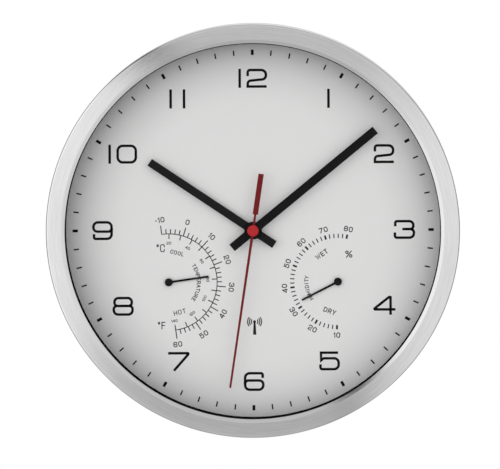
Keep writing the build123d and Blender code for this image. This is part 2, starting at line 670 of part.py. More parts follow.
# Movement case
def movement_front_shell():
    shell = movement_outline(0, COVER_THICKNESS, MOVEMENT_DEPTH)
    shell -= movement_outline(-MOVEMENT_WALL, COVER_THICKNESS, Z_MOVEMENT_FRONT)
    shell += disc(BUSH_RADIUS, Z_MOVEMENT_FRONT, Z_DIAL + BUSH_RISE)
    shell -= disc(BUSH_BORE, Z_MOVEMENT_FRONT, Z_DIAL + BUSH_RISE)
    shell += at_each(POSTS, disc(POST_RADIUS, PLATE_FRONT, Z_MOVEMENT_FRONT))
    pilot = disc(COVER_SCREW_RADIUS + PILOT_CLEARANCE, PLATE_FRONT, PLATE_FRONT + COVER_SCREW_GRIP)
    shell -= at_each(POSTS, pilot)
    shell += disc(PIN_RADIUS, MOTION_LAYER[0] - LAYER_GAP / 2, Z_MOVEMENT_FRONT, MOTION_PLACE)
    pads = [pad for motor in MOTORS.values() for pad in motor["pads"]]
    shell += at_each(pads, disc(STATOR_PAD_RADIUS, MOTION_LAYER[1], Z_MOVEMENT_FRONT))
    pivot_end = Z_MOVEMENT_FRONT + ROTOR_PIVOT + ROTOR_PIVOT_END_GAP
    pivot = disc(ROTOR_SHAFT_RADIUS + RUNNING_CLEARANCE, Z_MOVEMENT_FRONT, pivot_end)
    shell -= at_each([motor["rotor"] for motor in MOTORS.values()], pivot)
    shell += aerial_cradles()
    for side in (-1, 1):
        ends = sorted((side * MOVEMENT_HALF_WIDTH, side * (MOVEMENT_HALF_WIDTH + EAR_REACH)))
        low, high = EAR_HEIGHT_ON_SIDE - EAR_WIDTH / 2, EAR_HEIGHT_ON_SIDE + EAR_WIDTH / 2
        shell += block(ends[0], ends[1], low, high, EAR_BACK, EAR_FRONT)
    return shell - at_each(EAR_SCREWS, disc(EAR_SCREW_RADIUS + HOLE_CLEARANCE, EAR_BACK, EAR_FRONT))


def battery_bay(margin, low, high):
    return block(
        -BAY_HALF_LENGTH - margin,
        BAY_HALF_LENGTH + margin,
        BATTERY_Y - BAY_HALF_HEIGHT - margin,
        BATTERY_Y + BAY_HALF_HEIGHT + margin,
        low,
        high,
    )


def movement_back_cover():
    cover = movement_outline(0, 0, COVER_THICKNESS)
    cover += battery_bay(BAY_WALL, 0, BAY_FLOOR + BAY_WALL)
    cover += at_each(POSTS, disc(POST_RADIUS, 0, PLATE_BACK))
    cover -= battery_bay(0, 0, BAY_FLOOR)
    cover -= at_each(POSTS, disc(COVER_SCREW_RADIUS + HOLE_CLEARANCE, 0, PLATE_BACK))
    cover -= at_each(POSTS, disc(COVER_SCREW_HEAD_RADIUS + BUTTON_CLEARANCE, 0, COVER_SCREW_HEAD))
    cover -= cover_marks()
    return cover - at_each(BUTTON_PLACES, disc(BUTTON_RADIUS + BUTTON_CLEARANCE, 0, COVER_THICKNESS))


def cover_marks():
    long, thick = POLE_MARK_LENGTH / 2, POLE_MARK_WIDTH / 2
    aside = BAY_HALF_LENGTH + POLE_MARK_GAP + thick
    inner = BUTTON_RADIUS + BUTTON_RING_GAP
    marks = at_each(BUTTON_PLACES, tube(inner, inner + BUTTON_RING_WIDTH, 0, MARK_DEPTH))
    for x in (-aside, aside):
        marks += block(x - long, x + long, BATTERY_Y - thick, BATTERY_Y + thick, 0, MARK_DEPTH)
    return marks + block(aside - thick, aside + thick, BATTERY_Y - long, BATTERY_Y + long, 0, MARK_DEPTH)


def movement_cover_screws():
    screw = disc(COVER_SCREW_HEAD_RADIUS, 0, COVER_SCREW_HEAD)
    screw += disc(COVER_SCREW_RADIUS, COVER_SCREW_HEAD, PLATE_FRONT + COVER_SCREW_GRIP)
    return at_each(POSTS, screw - cross_recess(0, SMALL_CROSS))


def movement_mount_screws():
    screw = disc(EAR_SCREW_HEAD_RADIUS, EAR_FRONT, EAR_FRONT + EAR_SCREW_HEAD)
    return at_each(EAR_SCREWS, screw + disc(EAR_SCREW_RADIUS, EAR_BACK - EAR_SCREW_GRIP, EAR_FRONT))


def train_plate():
    body = block(
        -POST_X - POST_RADIUS,
        POST_X + POST_RADIUS,
        -TRAIN_BOTTOM,
        POST_TOP_Y + POST_RADIUS,
        PLATE_BACK,
        PLATE_FRONT,
    )
    body -= at_each(POSTS, disc(COVER_SCREW_RADIUS + HOLE_CLEARANCE, PLATE_BACK, PLATE_FRONT))
    rotors = [motor["rotor"] for motor in MOTORS.values()]
    body -= at_each(rotors, disc(ROTOR_SHAFT_RADIUS + RUNNING_CLEARANCE, PLATE_BACK, PLATE_FRONT))
    body -= disc(SECOND_ARBOR_RADIUS + RUNNING_CLEARANCE, PLATE_BACK, PLATE_FRONT)
    body += disc(PIN_RADIUS, PLATE_BACK, MINUTE_LAYER[1] + LAYER_GAP / 2, MINUTE_THIRD_PLACE)
    body += disc(PIN_RADIUS, PLATE_BACK, SECOND_LAYER[1] + LAYER_GAP / 2, SECOND_THIRD_PLACE)
    return body + at_each(board_corners(), disc(BOARD_STANDOFF_RADIUS, BOARD_FRONT, PLATE_BACK))


# Battery
def lying(radius, left, right, height, place_z):
    """A round bar along x."""
    return Pos((left + right) / 2, height, place_z) * Rot(0, 90, 0) * Cylinder(radius, right - left)


def battery():
    half = BATTERY_LENGTH / 2
    can = lying(BATTERY_RADIUS, -half, half - BATTERY_NUB, BATTERY_Y, BATTERY_Z)
    can = fillet(can.edges().filter_by(GeomType.CIRCLE), BATTERY_EDGE_RADIUS)
    return can + lying(BATTERY_NUB_RADIUS, half - BATTERY_NUB, half, BATTERY_Y, BATTERY_Z)


def battery_contact(side):
    """A strip folded to a U between the end of the battery and the end of its bay."""
    near = BATTERY_LENGTH / 2 + CONTACT_GAP
    far = near + CONTACT_DEPTH
    half = CONTACT_WIDTH / 2
    low, high = BATTERY_Z - half, BAY_FLOOR - CONTACT_GAP
    leaf = block(near, far, BATTERY_Y - half, BATTERY_Y + half, low, high)
    gap = block(
        near + CONTACT_THICKNESS,
        far - CONTACT_THICKNESS,
        BATTERY_Y - half,
        BATTERY_Y + half,
        low,
        high - CONTACT_FOOT,
    )
    return Rot(0, 0, 0 if side > 0 else 180) * Pos(0, 0 if side > 0 else -2 * BATTERY_Y, 0) * (leaf - gap)


# Wheels
def hour_wheel():
    wheel = driven(HOUR_TEETH, HOUR_MODULE, MOTION_BEARING, HOUR_LAYER)
    wheel += disc(HOUR_PIPE_RADIUS, HOUR_LAYER[0], Z_HOUR_HAND + HAND_THICKNESS + PIPE_END)
    return wheel - disc(HOUR_PIPE_BORE, HOUR_LAYER[0], Z_HOUR_HAND + HAND_THICKNESS + PIPE_END)


def motion_wheel():
    wheel = driven(MOTION_TEETH, HOUR_MODULE, MOTION_BEARING + 180, MOTION_LAYER, MOTION_PLACE)
    wheel += gear(
        MOTION_PINION_TEETH, HOUR_MODULE, MOTION_BEARING + 180, HOUR_LAYER, MOTION_PLACE, PINION_OVERLAP
    )
    wheel += disc(PIN_RADIUS + HUB_WALL, MOTION_LAYER[0], HOUR_LAYER[1], MOTION_PLACE)
    bore = PIN_RADIUS + RUNNING_CLEARANCE
    return wheel - disc(bore, MOTION_LAYER[0], HOUR_LAYER[1] + PINION_OVERLAP, MOTION_PLACE)


def minute_wheel():
    end = Z_MINUTE_HAND + HAND_THICKNESS + PIPE_END
    wheel = driven(MINUTE_TEETH, MINUTE_MODULE, MINUTE_THIRD_BEARING, MINUTE_LAYER)
    wheel += gear(CANNON_TEETH, HOUR_MODULE, MOTION_BEARING, MOTION_LAYER, overlap=PINION_OVERLAP)
    wheel += disc(MINUTE_PIPE_RADIUS, MINUTE_LAYER[0], end)
    return wheel - disc(MINUTE_PIPE_BORE, MINUTE_LAYER[0], end)


def third_wheel(place, pinion, wheel, pinion_layer):
    """A wheel and a pinion on a hub that runs on a pin of the train plate."""
    low, shoulder = PLATE_FRONT + LAYER_GAP / 2, pinion_layer[0] - PINION_OVERLAP
    body = pinion + wheel + disc(PIN_RADIUS + HUB_WALL, low, shoulder, place)
    return body - disc(PIN_RADIUS + RUNNING_CLEARANCE, low, pinion_layer[1] + PINION_OVERLAP, place)


def minute_third_wheel():
    place = MINUTE_THIRD_PLACE
    back = MINUTE_THIRD_BEARING + 180
    pinion = gear(MINUTE_THIRD_PINION_TEETH, MINUTE_MODULE, back, MINUTE_LAYER, place, PINION_OVERLAP)
    wheel = driven(
        MINUTE_THIRD_TEETH, MINUTE_ROTOR_MODULE, MINUTE_ROTOR_BEARING, MINUTE_THIRD_LAYER, place
    )
    return third_wheel(place, pinion, wheel, MINUTE_LAYER)


def second_wheel():
    wheel = driven(SECOND_TEETH, SECOND_MODULE, SECOND_THIRD_BEARING, SECOND_LAYER)
    wheel += disc(SECOND_ARBOR_RADIUS + HUB_WALL, PLATE_FRONT + LAYER_GAP / 2, SECOND_LAYER[1])
    return wheel + disc(SECOND_ARBOR_RADIUS, PLATE_BACK + LAYER_GAP, Z_SECOND_CAP + PIPE_END)


def second_third_wheel():
    place = SECOND_THIRD_PLACE
    back = SECOND_THIRD_BEARING + 180
    pinion = gear(SECOND_THIRD_PINION_TEETH, SECOND_MODULE, back, SECOND_LAYER, place, PINION_OVERLAP)
    wheel = driven(SECOND_THIRD_TEETH, SECOND_MODULE, SECOND_ROTOR_BEARING, SECOND_THIRD_LAYER, place)
    return third_wheel(place, pinion, wheel, SECOND_LAYER)


# Stepping motors
def motor_frame(rotor, side, pinion_layer, teeth, module, bearing):
    """The places of one motor: its rotor, its stator from the rotor's end out to its reach, and its pads."""
    near, far = rotor[0] - side * STATOR_END, side * MOTOR_REACH
    left, right = sorted((near, far))
    return {
        "rotor": rotor,
        "left": left,
        "right": right,
        "pads": [(x, CORE_MIDDLE) for x in (left + STATOR_LEG / 2, right - STATOR_LEG / 2)],
        "pinion": gear(teeth, module, bearing + 180, pinion_layer, rotor, PINION_OVERLAP),
    }


MOTORS = {
    "minute": motor_frame(
        MINUTE_ROTOR_PLACE,
        1,
        MINUTE_THIRD_LAYER,
        MINUTE_ROTOR_TEETH,
        MINUTE_ROTOR_MODULE,
        MINUTE_ROTOR_BEARING,
    ),
    "second": motor_frame(
        SECOND_ROTOR_PLACE,
        -1,
        SECOND_THIRD_LAYER,
        SECOND_ROTOR_TEETH,
        SECOND_MODULE,
        SECOND_ROTOR_BEARING,
    ),
}
CORE_LEVELS = (MOTION_LAYER[0] - CORE_THICKNESS, MOTION_LAYER[0])
MAGNET_LEVELS = (MOTION_LAYER[0] - MAGNET_OVERHANG, MOTION_LAYER[1] + MAGNET_OVERHANG)


def rotor_shaft(motor):
    return motor["pinion"] + disc(
        ROTOR_SHAFT_RADIUS, PLATE_BACK + LAYER_GAP, Z_MOVEMENT_FRONT + ROTOR_PIVOT, motor["rotor"]
    )


def rotor_magnet(motor):
    return tube(ROTOR_SHAFT_RADIUS + PRESS_CLEARANCE, MAGNET_RADIUS, *MAGNET_LEVELS, motor["rotor"])


def stator(motor):
    low, high = MOTION_LAYER
    rotor_y = motor["rotor"][1]
    left, right = motor["left"], motor["right"]
    body = block(left, right, rotor_y - STATOR_POLE, rotor_y + STATOR_POLE, low, high)
    body += block(left, left + STATOR_LEG, rotor_y, CORE_TOP, low, high)
    body += block(right - STATOR_LEG, right, rotor_y, CORE_TOP, low, high)
    return body - disc(MAGNET_RADIUS + STATOR_AIR_GAP, low, high, motor["rotor"])


def coil_core(motor):
    return block(motor["left"], motor["right"], CORE_BOTTOM, CORE_TOP, *CORE_LEVELS)


def motor_coil(motor):
    left = motor["left"] + STATOR_LEG + COIL_END_GAP
    right = motor["right"] - STATOR_LEG - COIL_END_GAP
    height, depth = CORE_MIDDLE, sum(CORE_LEVELS) / 2
    body = lying(COIL_RADIUS - COIL_FLANGE_RISE, left, right, height, depth)
    body += lying(COIL_RADIUS, left, left + COIL_FLANGE, height, depth)
    body += lying(COIL_RADIUS, right - COIL_FLANGE, right, height, depth)
    gap = COIL_CORE_CLEARANCE
    return body - block(
        left, right, CORE_BOTTOM - gap, CORE_TOP + gap, CORE_LEVELS[0] - gap, CORE_LEVELS[1] + gap
    )


# Circuit board, buttons and aerial
BOARD_HALF_WIDTH = POST_X - POST_RADIUS - BOARD_SIDE_GAP
BOARD_BOTTOM = BOARD_LOW_INSET - TRAIN_BOTTOM
BOARD_TOP = POST_TOP_Y - POST_RADIUS
BUTTON_FIRST = BUTTON_INSET - BOARD_HALF_WIDTH
BUTTON_PLACES = [(BUTTON_FIRST + n * BUTTON_PITCH, BUTTON_ROW) for n in range(3)]


def board_corners():
    side = BOARD_HALF_WIDTH - BOARD_STANDOFF_INSET
    low, high = BOARD_BOTTOM + BOARD_STANDOFF_INSET, BOARD_TOP - BOARD_STANDOFF_INSET
    return [(x, y) for x in (-side, side) for y in (low, high)]


def circuit_board():
    return block(-BOARD_HALF_WIDTH, BOARD_HALF_WIDTH, BOARD_BOTTOM, BOARD_TOP, BOARD_BACK, BOARD_FRONT)


def controller_chip():
    half = CHIP_SIZE / 2
    chip = block(-half, half, -half, half, BOARD_BACK - CHIP_HEIGHT, BOARD_BACK)
    return Pos(CHIP_PLACE[0], CHIP_PLACE[1], 0) * chip


def quartz_crystal():
    x, y = CRYSTAL_PLACE
    depth = BOARD_BACK - CRYSTAL_RADIUS - RUNNING_CLEARANCE
    can = lying(CRYSTAL_RADIUS, x - CRYSTAL_LENGTH / 2, x + CRYSTAL_LENGTH / 2, y, depth)
    return fillet(can.edges().filter_by(GeomType.CIRCLE), CRYSTAL_EDGE_RADIUS)


def tact_switches():
    half = SWITCH_SIZE / 2
    switch = block(-half, half, -half, half, BOARD_BACK - SWITCH_HEIGHT, BOARD_BACK)
    return at_each(BUTTON_PLACES, switch + disc(SWITCH_STEM_RADIUS, SWITCH_TOP, BOARD_BACK - SWITCH_HEIGHT))


def button(place):
    inside = COVER_THICKNESS
    cap = disc(BUTTON_RADIUS, BUTTON_SINK, inside)
    cap += disc(BUTTON_FLANGE_RADIUS, inside, inside + BUTTON_FLANGE)
    cap += disc(BUTTON_STEM_RADIUS, inside, inside + BUTTON_STEM)
    return Pos(place[0], place[1], 0) * cap


def aerial_bar(half_length, margin):
    return block(
        -half_length,
        half_length,
        AERIAL_BOTTOM - margin,
        AERIAL_TOP + margin,
        AERIAL_BACK - margin,
        AERIAL_FRONT + margin,
    )


def aerial_rod():
    return aerial_bar(AERIAL_HALF_LENGTH, 0)


def aerial_coil():
    half = AERIAL_COIL_LENGTH / 2
    return aerial_bar(half, AERIAL_COIL_BUILD) - aerial_bar(half, RUNNING_CLEARANCE)


def aerial_cradles():
    half = CRADLE_THICKNESS / 2
    cradles = Part()
    for x in (-CRADLE_PLACE, CRADLE_PLACE):
        cradles += block(x - half, x + half, AERIAL_BOTTOM, AERIAL_TOP, AERIAL_FRONT, Z_MOVEMENT_FRONT)
    return cradles


# Hands, drawn pointing to twelve
def bar_hand(length, tail, width, bore, low):
    half = width / 2
    outline = [(-half, -tail), (half, -tail), (half, length), (-half, length)]
    hand = plate(outline, low, low + HAND_THICKNESS) + disc(HAND_HUB_RADIUS, low, low + HAND_THICKNESS)
    hand = chamfer(hand.faces().sort_by(Axis.Z)[-1].edges(), HAND_EDGE_CHAMFER)
    return hand - disc(bore, low, low + HAND_THICKNESS)


def hour_hand():
    bore = HOUR_PIPE_RADIUS + PRESS_CLEARANCE
    hand = bar_hand(HOUR_HAND_LENGTH, HOUR_HAND_TAIL, HOUR_HAND_WIDTH, bore, Z_HOUR_HAND)
    return clockwise(hand, HOUR_HAND_ANGLE)


def minute_hand():
    bore = MINUTE_PIPE_RADIUS + PRESS_CLEARANCE
    hand = bar_hand(MINUTE_HAND_LENGTH, MINUTE_HAND_TAIL, MINUTE_HAND_WIDTH, bore, Z_MINUTE_HAND)
    return clockwise(hand, MINUTE_HAND_ANGLE)


def collet(bore, top):
    return tube(bore, bore + COLLET_WALL, top - COLLET_LENGTH, top)


def second_hand():
    low, high = Z_SECOND_HAND, Z_SECOND_CAP
    root, tip = SECOND_HAND_ROOT_WIDTH / 2, SECOND_HAND_TIP_WIDTH / 2
    pointer = [(-root, 0), (root, 0), (tip, SECOND_HAND_LENGTH), (-tip, SECOND_HAND_LENGTH)]
    neck, tail = SECOND_HAND_NECK_WIDTH / 2, SECOND_HAND_TAIL_WIDTH / 2
    hand = plate(pointer, low, high) + disc(SECOND_HAND_HUB_RADIUS, low, high)
    hand += block(-neck, neck, -SECOND_HAND_NECK - tail, 0, low, high)
    hand += block(-tail, tail, -SECOND_HAND_TAIL, -SECOND_HAND_NECK, low, high)
    return clockwise(hand - disc(SECOND_ARBOR_RADIUS + PRESS_CLEARANCE, low, high), SECOND_HAND_ANGLE)


def capped(radius, low, height, edge_radius, bore, roof):
    """A round cap with a rounded front edge and a blind hole from behind."""
    cap = disc(radius, low, low + height)
    front = cap.edges().filter_by(GeomType.CIRCLE).sort_by(Axis.Z)[-1]
    return fillet(front, edge_radius) - disc(bore, low, low + height - roof)


def second_hand_cap():
    bore = SECOND_ARBOR_RADIUS + PRESS_CLEARANCE
    return capped(SECOND_CAP_RADIUS, Z_SECOND_CAP, SECOND_CAP_HEIGHT, SECOND_CAP_EDGE, bore, SECOND_CAP_ROOF)


# Thermometer and hygrometer
CUP_BACK = Z_DIAL_BACK - GAUGE_CUP_DEPTH
BRIDGE_BACK = CUP_BACK - GAUGE_BRIDGE
SPIRAL_LOW = CUP_BACK + SPIRAL_BACK_GAP
SPIRAL_HIGH = SPIRAL_LOW + SPIRAL_WIDTH
SPIRAL_OUTER_RADIUS = SPIRAL_INNER_RADIUS + SPIRAL_PITCH * SPIRAL_HALF_TURNS / 2
Z_HUB = Z_DIAL + NEEDLE_HUB_RISE


def gauge_cup():
    bore = GAUGE_CUP_RADIUS - GAUGE_CUP_WALL
    cup = disc(GAUGE_CUP_RADIUS, CUP_BACK, Z_DIAL_BACK) - disc(bore, CUP_BACK, Z_DIAL_BACK - GAUGE_CUP_WALL)
    post_place = SPIRAL_OUTER_RADIUS + SPIRAL_THICKNESS / 2 + SPIRAL_END_GAP + SPIRAL_POST_RADIUS
    post = disc(SPIRAL_POST_RADIUS, SPIRAL_LOW, Z_DIAL_BACK, (post_place, 0))
    cup += post & disc(GAUGE_CUP_RADIUS, CUP_BACK, Z_DIAL_BACK)
    return cup - disc(GAUGE_ARBOR_RADIUS + RUNNING_CLEARANCE, CUP_BACK, Z_DIAL_BACK)


def gauge_bridge():
    half = GAUGE_BRIDGE_WIDTH / 2
    bar = block(-GAUGE_CUP_RADIUS, GAUGE_CUP_RADIUS, -half, half, BRIDGE_BACK, CUP_BACK)
    bar &= disc(GAUGE_CUP_RADIUS, BRIDGE_BACK, CUP_BACK)
    return bar - disc(GAUGE_ARBOR_RADIUS + RUNNING_CLEARANCE, BRIDGE_BACK, CUP_BACK)


def gauge_spiral():
    """A strip wound in half circles, whose centres alternate so that each meets the next in line."""
    half = SPIRAL_THICKNESS / 2
    edges = []
    for side in (-half, half):
        for turn in range(SPIRAL_HALF_TURNS):
            centre = (SPIRAL_PITCH / 2 * (turn % 2), 0)
            radius = SPIRAL_INNER_RADIUS + turn * SPIRAL_PITCH / 2 + side
            edges.append(CenterArc(centre, radius, 180 * (turn % 2), 180))
    for middle in (SPIRAL_INNER_RADIUS, SPIRAL_OUTER_RADIUS):
        edges.append(Line((middle - half, 0), (middle + half, 0)))
    return Pos(0, 0, SPIRAL_LOW) * extrude(make_face(edges), SPIRAL_WIDTH)


def gauge_arbor():
    tip = Z_HUB + NEEDLE_HUB_HEIGHT - NEEDLE_HUB_ROOF
    arbor = disc(GAUGE_ARBOR_RADIUS, BRIDGE_BACK - GAUGE_ARBOR_TAIL, tip)
    collar = SPIRAL_INNER_RADIUS - SPIRAL_THICKNESS / 2 - SPIRAL_END_GAP
    return arbor + disc(collar, SPIRAL_LOW, SPIRAL_HIGH)


def gauge_pointer():
    root, tip = NEEDLE_ROOT_WIDTH / 2, NEEDLE_TIP_WIDTH / 2
    outline = [(-root, 0), (root, 0), (tip, NEEDLE_LENGTH), (-tip, NEEDLE_LENGTH)]
    low = Z_DIAL + NEEDLE_RISE
    bore = GAUGE_ARBOR_RADIUS + PRESS_CLEARANCE
    hub = capped(NEEDLE_HUB_RADIUS, Z_HUB, NEEDLE_HUB_HEIGHT, NEEDLE_HUB_EDGE, bore, NEEDLE_HUB_ROOF)
    needle = plate(outline, low, low + NEEDLE_THICKNESS) - disc(bore, low, low + NEEDLE_THICKNESS)
    return hub + needle


# Every node, drawn in the dial's plane
NODES = {
    "bezel_ring": bezel_ring(),
    "lens_gasket": lens_gasket(),
    "front_lens": front_lens(),
    "spacer_ring": spacer_ring(),
    "dial_plate": dial_plate(),
    "rear_case": rear_case(),
    "case_screws": case_screws(),
    "hanger_plate": hanger_plate(),
    "hanger_screws": hanger_screws(),
    "movement_front_shell": movement_front_shell(),
    "movement_back_cover": movement_back_cover(),
    "movement_cover_screws": movement_cover_screws(),
    "movement_mount_screws": movement_mount_screws(),
    "train_plate": train_plate(),
    "battery": battery(),
    "battery_contact_positive": battery_contact(1),
    "battery_contact_negative": battery_contact(-1),
    "hour_wheel": hour_wheel(),
    "motion_wheel": motion_wheel(),
    "minute_wheel": minute_wheel(),
    "minute_third_wheel": minute_third_wheel(),
    "second_wheel": second_wheel(),
    "second_third_wheel": second_third_wheel(),
    "circuit_board": circuit_board(),
    "controller_chip": controller_chip(),
    "quartz_crystal": quartz_crystal(),
    "tact_switches": tact_switches(),
    "aerial_rod": aerial_rod(),
    "aerial_coil": aerial_coil(),
    "hour_hand": hour_hand(),
    "hour_hand_collet": collet(HOUR_PIPE_RADIUS + PRESS_CLEARANCE, Z_HOUR_HAND),
    "minute_hand": minute_hand(),
    "minute_hand_collet": collet(MINUTE_PIPE_RADIUS + PRESS_CLEARANCE, Z_MINUTE_HAND),
    "second_hand": second_hand(),
    "second_hand_tube": collet(SECOND_ARBOR_RADIUS + PRESS_CLEARANCE, Z_SECOND_HAND),
    "second_hand_cap": second_hand_cap(),
}
for name, motor in MOTORS.items():
    NODES[f"{name}_rotor"] = rotor_shaft(motor)
    NODES[f"{name}_magnet"] = rotor_magnet(motor)
    NODES[f"{name}_stator"] = stator(motor)
    NODES[f"{name}_coil_core"] = coil_core(motor)
    NODES[f"{name}_coil"] = motor_coil(motor)
for name, place in zip(("set", "receive", "reset"), BUTTON_PLACES):
    NODES[f"{name}_button"] = button(place)
for name, place in GAUGE_PLACES.items():
    there = Pos(place[0], place[1], 0)
    NODES[f"{name}_cup"] = there * gauge_cup()
    NODES[f"{name}_bridge"] = there * gauge_bridge()
    NODES[f"{name}_spiral"] = there * gauge_spiral()
    NODES[f"{name}_arbor"] = there * gauge_arbor()
    NODES[f"{name}_pointer"] = clockwise(gauge_pointer(), GAUGE_ANGLES[name], place)

# The dial's plane turned upright: twelve o'clock to +Z and out of the wall to -Y
UPRIGHT = Rot(90, 0, 0)
os.makedirs("parts", exist_ok=True)
for name, shape in NODES.items():
    export_step(UPRIGHT * shape, f"parts/{name}.step")
print(len(NODES), "nodes, depth", round(Z_CREST, 2), "mm, diameter", 2 * CASE_RADIUS, "mm")
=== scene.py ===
# %% [markdown]
# A wall clock with a thermometer and a hygrometer on its dial.
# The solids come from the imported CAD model, which fixes every size. This lesson gives them their
# looks: a spun and brushed ring, a printed dial, finishes for each piece, and a studio around them.
# The frame is in metres: x to three o'clock, z to twelve o'clock, and the viewer on the -y side.

import math

import bpy
import numpy as np
from mathutils import Matrix, Vector


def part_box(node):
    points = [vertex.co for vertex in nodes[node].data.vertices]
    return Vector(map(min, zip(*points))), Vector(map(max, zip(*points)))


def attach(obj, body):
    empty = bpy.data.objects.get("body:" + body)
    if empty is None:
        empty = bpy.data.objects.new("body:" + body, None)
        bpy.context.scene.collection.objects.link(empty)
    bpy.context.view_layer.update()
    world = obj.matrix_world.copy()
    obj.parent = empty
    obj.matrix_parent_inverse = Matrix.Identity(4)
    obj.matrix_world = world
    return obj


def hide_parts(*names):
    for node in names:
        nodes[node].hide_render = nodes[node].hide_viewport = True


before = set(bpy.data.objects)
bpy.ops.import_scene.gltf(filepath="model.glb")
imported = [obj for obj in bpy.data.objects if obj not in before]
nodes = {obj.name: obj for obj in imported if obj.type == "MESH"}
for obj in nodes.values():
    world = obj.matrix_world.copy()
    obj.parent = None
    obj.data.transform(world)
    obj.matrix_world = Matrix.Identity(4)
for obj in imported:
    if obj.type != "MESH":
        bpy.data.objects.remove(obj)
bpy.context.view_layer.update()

MM = 0.001


def front_of(node):
    """How far a node's front stands out from the wall, in millimetres."""
    return -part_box(node)[0].y / MM


def middle_of(node):
    """The middle of a node as right and up from the hands' axis, in millimetres."""
    low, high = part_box(node)
    return (low.x + high.x) / 2 / MM, (low.z + high.z) / 2 / MM


def ring_sizes(node):
    """Rim radius, bore radius, back and front of a ring around the hands' axis, in millimetres."""
    low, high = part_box(node)
    mesh = nodes[node].data
    spots = np.empty(3 * len(mesh.vertices))
    mesh.vertices.foreach_get("co", spots)
    bore = float(np.hypot(spots[0::3], spots[2::3]).min() / MM)
    return high.z / MM, bore, -high.y / MM, -low.y / MM


# %% [markdown]
# The print and the ring are easiest to draw as on paper, in millimetres: right, up, and out of the
# wall. One function turns such a drawing into the frame. A second one gives the face indices of a
# grid of points, because every new surface here is a grid: points along a path, times points around
# a section. A third one puts the arrays into a mesh in one go.

# %% From a drawing to a mesh
def on_wall(right, up, out):
    """Right, up and out of the wall in millimetres become x, z and -y in metres."""
    return np.stack([np.asarray(right) * MM, -np.asarray(out) * MM, np.asarray(up) * MM], axis=-1)


def grid_faces(rows, columns, close_rows=False, close_columns=False):
    """Quads of a grid whose point (r, c) has the index r * columns + c."""
    r = np.arange(rows if close_rows else rows - 1)[:, None]
    c = np.arange(columns if close_columns else columns - 1)[None, :]
    r_next, c_next = (r + 1) % rows, (c + 1) % columns
    quads = np.stack(np.broadcast_arrays(r * columns + c, r_next * columns + c, r_next * columns + c_next,
                                         r * columns + c_next), axis=-1)
    return quads.reshape(-1, 4)


def outward(points, quads):
    """The same quads, turned round if the volume that they enclose comes out negative."""
    a, b, c, d = (points[quads[:, n]] for n in range(4))
    volume = (np.cross(b - a, c - a) * a).sum() + (np.cross(c - a, d - a) * a).sum()
    return quads if volume > 0 else quads[:, ::-1]


def make_piece(name, points, quads, body, slot, smooth=False):
    """A mesh at the origin that moves with a body. The slot argument is not used."""
    mesh = bpy.data.meshes.new(name)
    mesh.from_pydata(points.tolist(), [], quads.tolist())
    mesh.polygons.foreach_set("use_smooth", np.full(len(quads), smooth))
    mesh.update()
    piece = bpy.data.objects.new(name, mesh)
    bpy.context.collection.objects.link(piece)
    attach(piece, body)
    print(name, len(points), "points,", len(quads), "faces")
    return piece


# %% [markdown]
# Materials are node trees. Written as nodes and links they are long to read, so one small class
# wraps a socket: adding or multiplying two of these values adds the Math node that does it. Any other
# node is made by one method, which sets its settings first and then fills its sockets.

# %% Values that make nodes
class Value:
    """One socket of a material, with Python's operators as Math nodes."""

    def __init__(self, socket):
        self.socket = socket

    @classmethod
    def node(cls, tree, kind, settings=None, sockets=None, output=0):
        """A node of any type: settings first, then numbers, colours or links in its sockets."""
        made = tree.nodes.new(kind)
        for name, setting in (settings or {}).items():
            setattr(made, name, setting)
        for name, value in (sockets or {}).items():
            if isinstance(value, cls):
                tree.links.new(value.socket, made.inputs[name])
            else:
                made.inputs[name].default_value = value
        return cls(made.outputs[output])

    def math(self, operation, first, second):
        """A Math node in the tree that the socket belongs to."""
        tree = self.socket.id_data
        return Value.node(tree, "ShaderNodeMath", {"operation": operation}, {0: first, 1: second})

    def __add__(self, other):
        return self.math("ADD", self, other)

    def __radd__(self, other):
        return self.math("ADD", other, self)

    def __sub__(self, other):
        return self.math("SUBTRACT", self, other)

    def __rsub__(self, other):
        return self.math("SUBTRACT", other, self)

    def __mul__(self, other):
        return self.math("MULTIPLY", self, other)

    def __rmul__(self, other):
        return self.math("MULTIPLY", other, self)

    def __truediv__(self, other):
        return self.math("DIVIDE", self, other)

    def __pow__(self, other):
        return self.math("POWER", self, other)

    def __lt__(self, other):
        return self.math("LESS_THAN", self, other)

    def __gt__(self, other):
        return self.math("GREATER_THAN", self, other)

    def __abs__(self):
        return self.math("ABSOLUTE", self, 0.0)


# %% [markdown]
# Every finish starts from the same few things: where a point lies on the object, a soft cloudy noise
# for unevenness, a mix of two colours, and a shader that takes what varies. Numbers that are the same
# all over are set on the shader itself.

# %% Places, clouds, mixes and the shader
def places(tree):
    """Object coordinates in metres as three values x, y, z and as one vector."""
    vector = Value.node(tree, "ShaderNodeTexCoord", output=3)
    x, y, z = (Value.node(tree, "ShaderNodeSeparateXYZ", None, {0: vector}, output=n) for n in range(3))
    return x, y, z, vector


def cloud(tree, vector, scale, detail=3.0, roughness=0.55):
    """Noise between 0 and 1 whose lumps are about 1 / scale metres wide."""
    return Value.node(tree, "ShaderNodeTexNoise", None,
                      {"Vector": vector, "Scale": scale, "Detail": detail, "Roughness": roughness})


def join_xyz(tree, x, y, z):
    return Value.node(tree, "ShaderNodeCombineXYZ", None, {0: x, 1: y, 2: z})


def mix_colour(tree, factor, low, high):
    """The colour low where the factor is 0 and high where it is 1."""
    return Value.node(tree, "ShaderNodeMix", {"data_type": "RGBA", "clamp_factor": True},
                      {0: factor, 6: low, 7: high}, output=2)


def bump(tree, height, depth):
    """A normal from a height between 0 and 1 that stands for a relief of that many metres."""
    return Value.node(tree, "ShaderNodeBump", None, {"Strength": 1.0, "Distance": depth, "Height": height})


def new_material(name):
    material = bpy.data.materials.new(name)
    material.use_nodes = True
    material.node_tree.nodes.clear()
    return material, material.node_tree


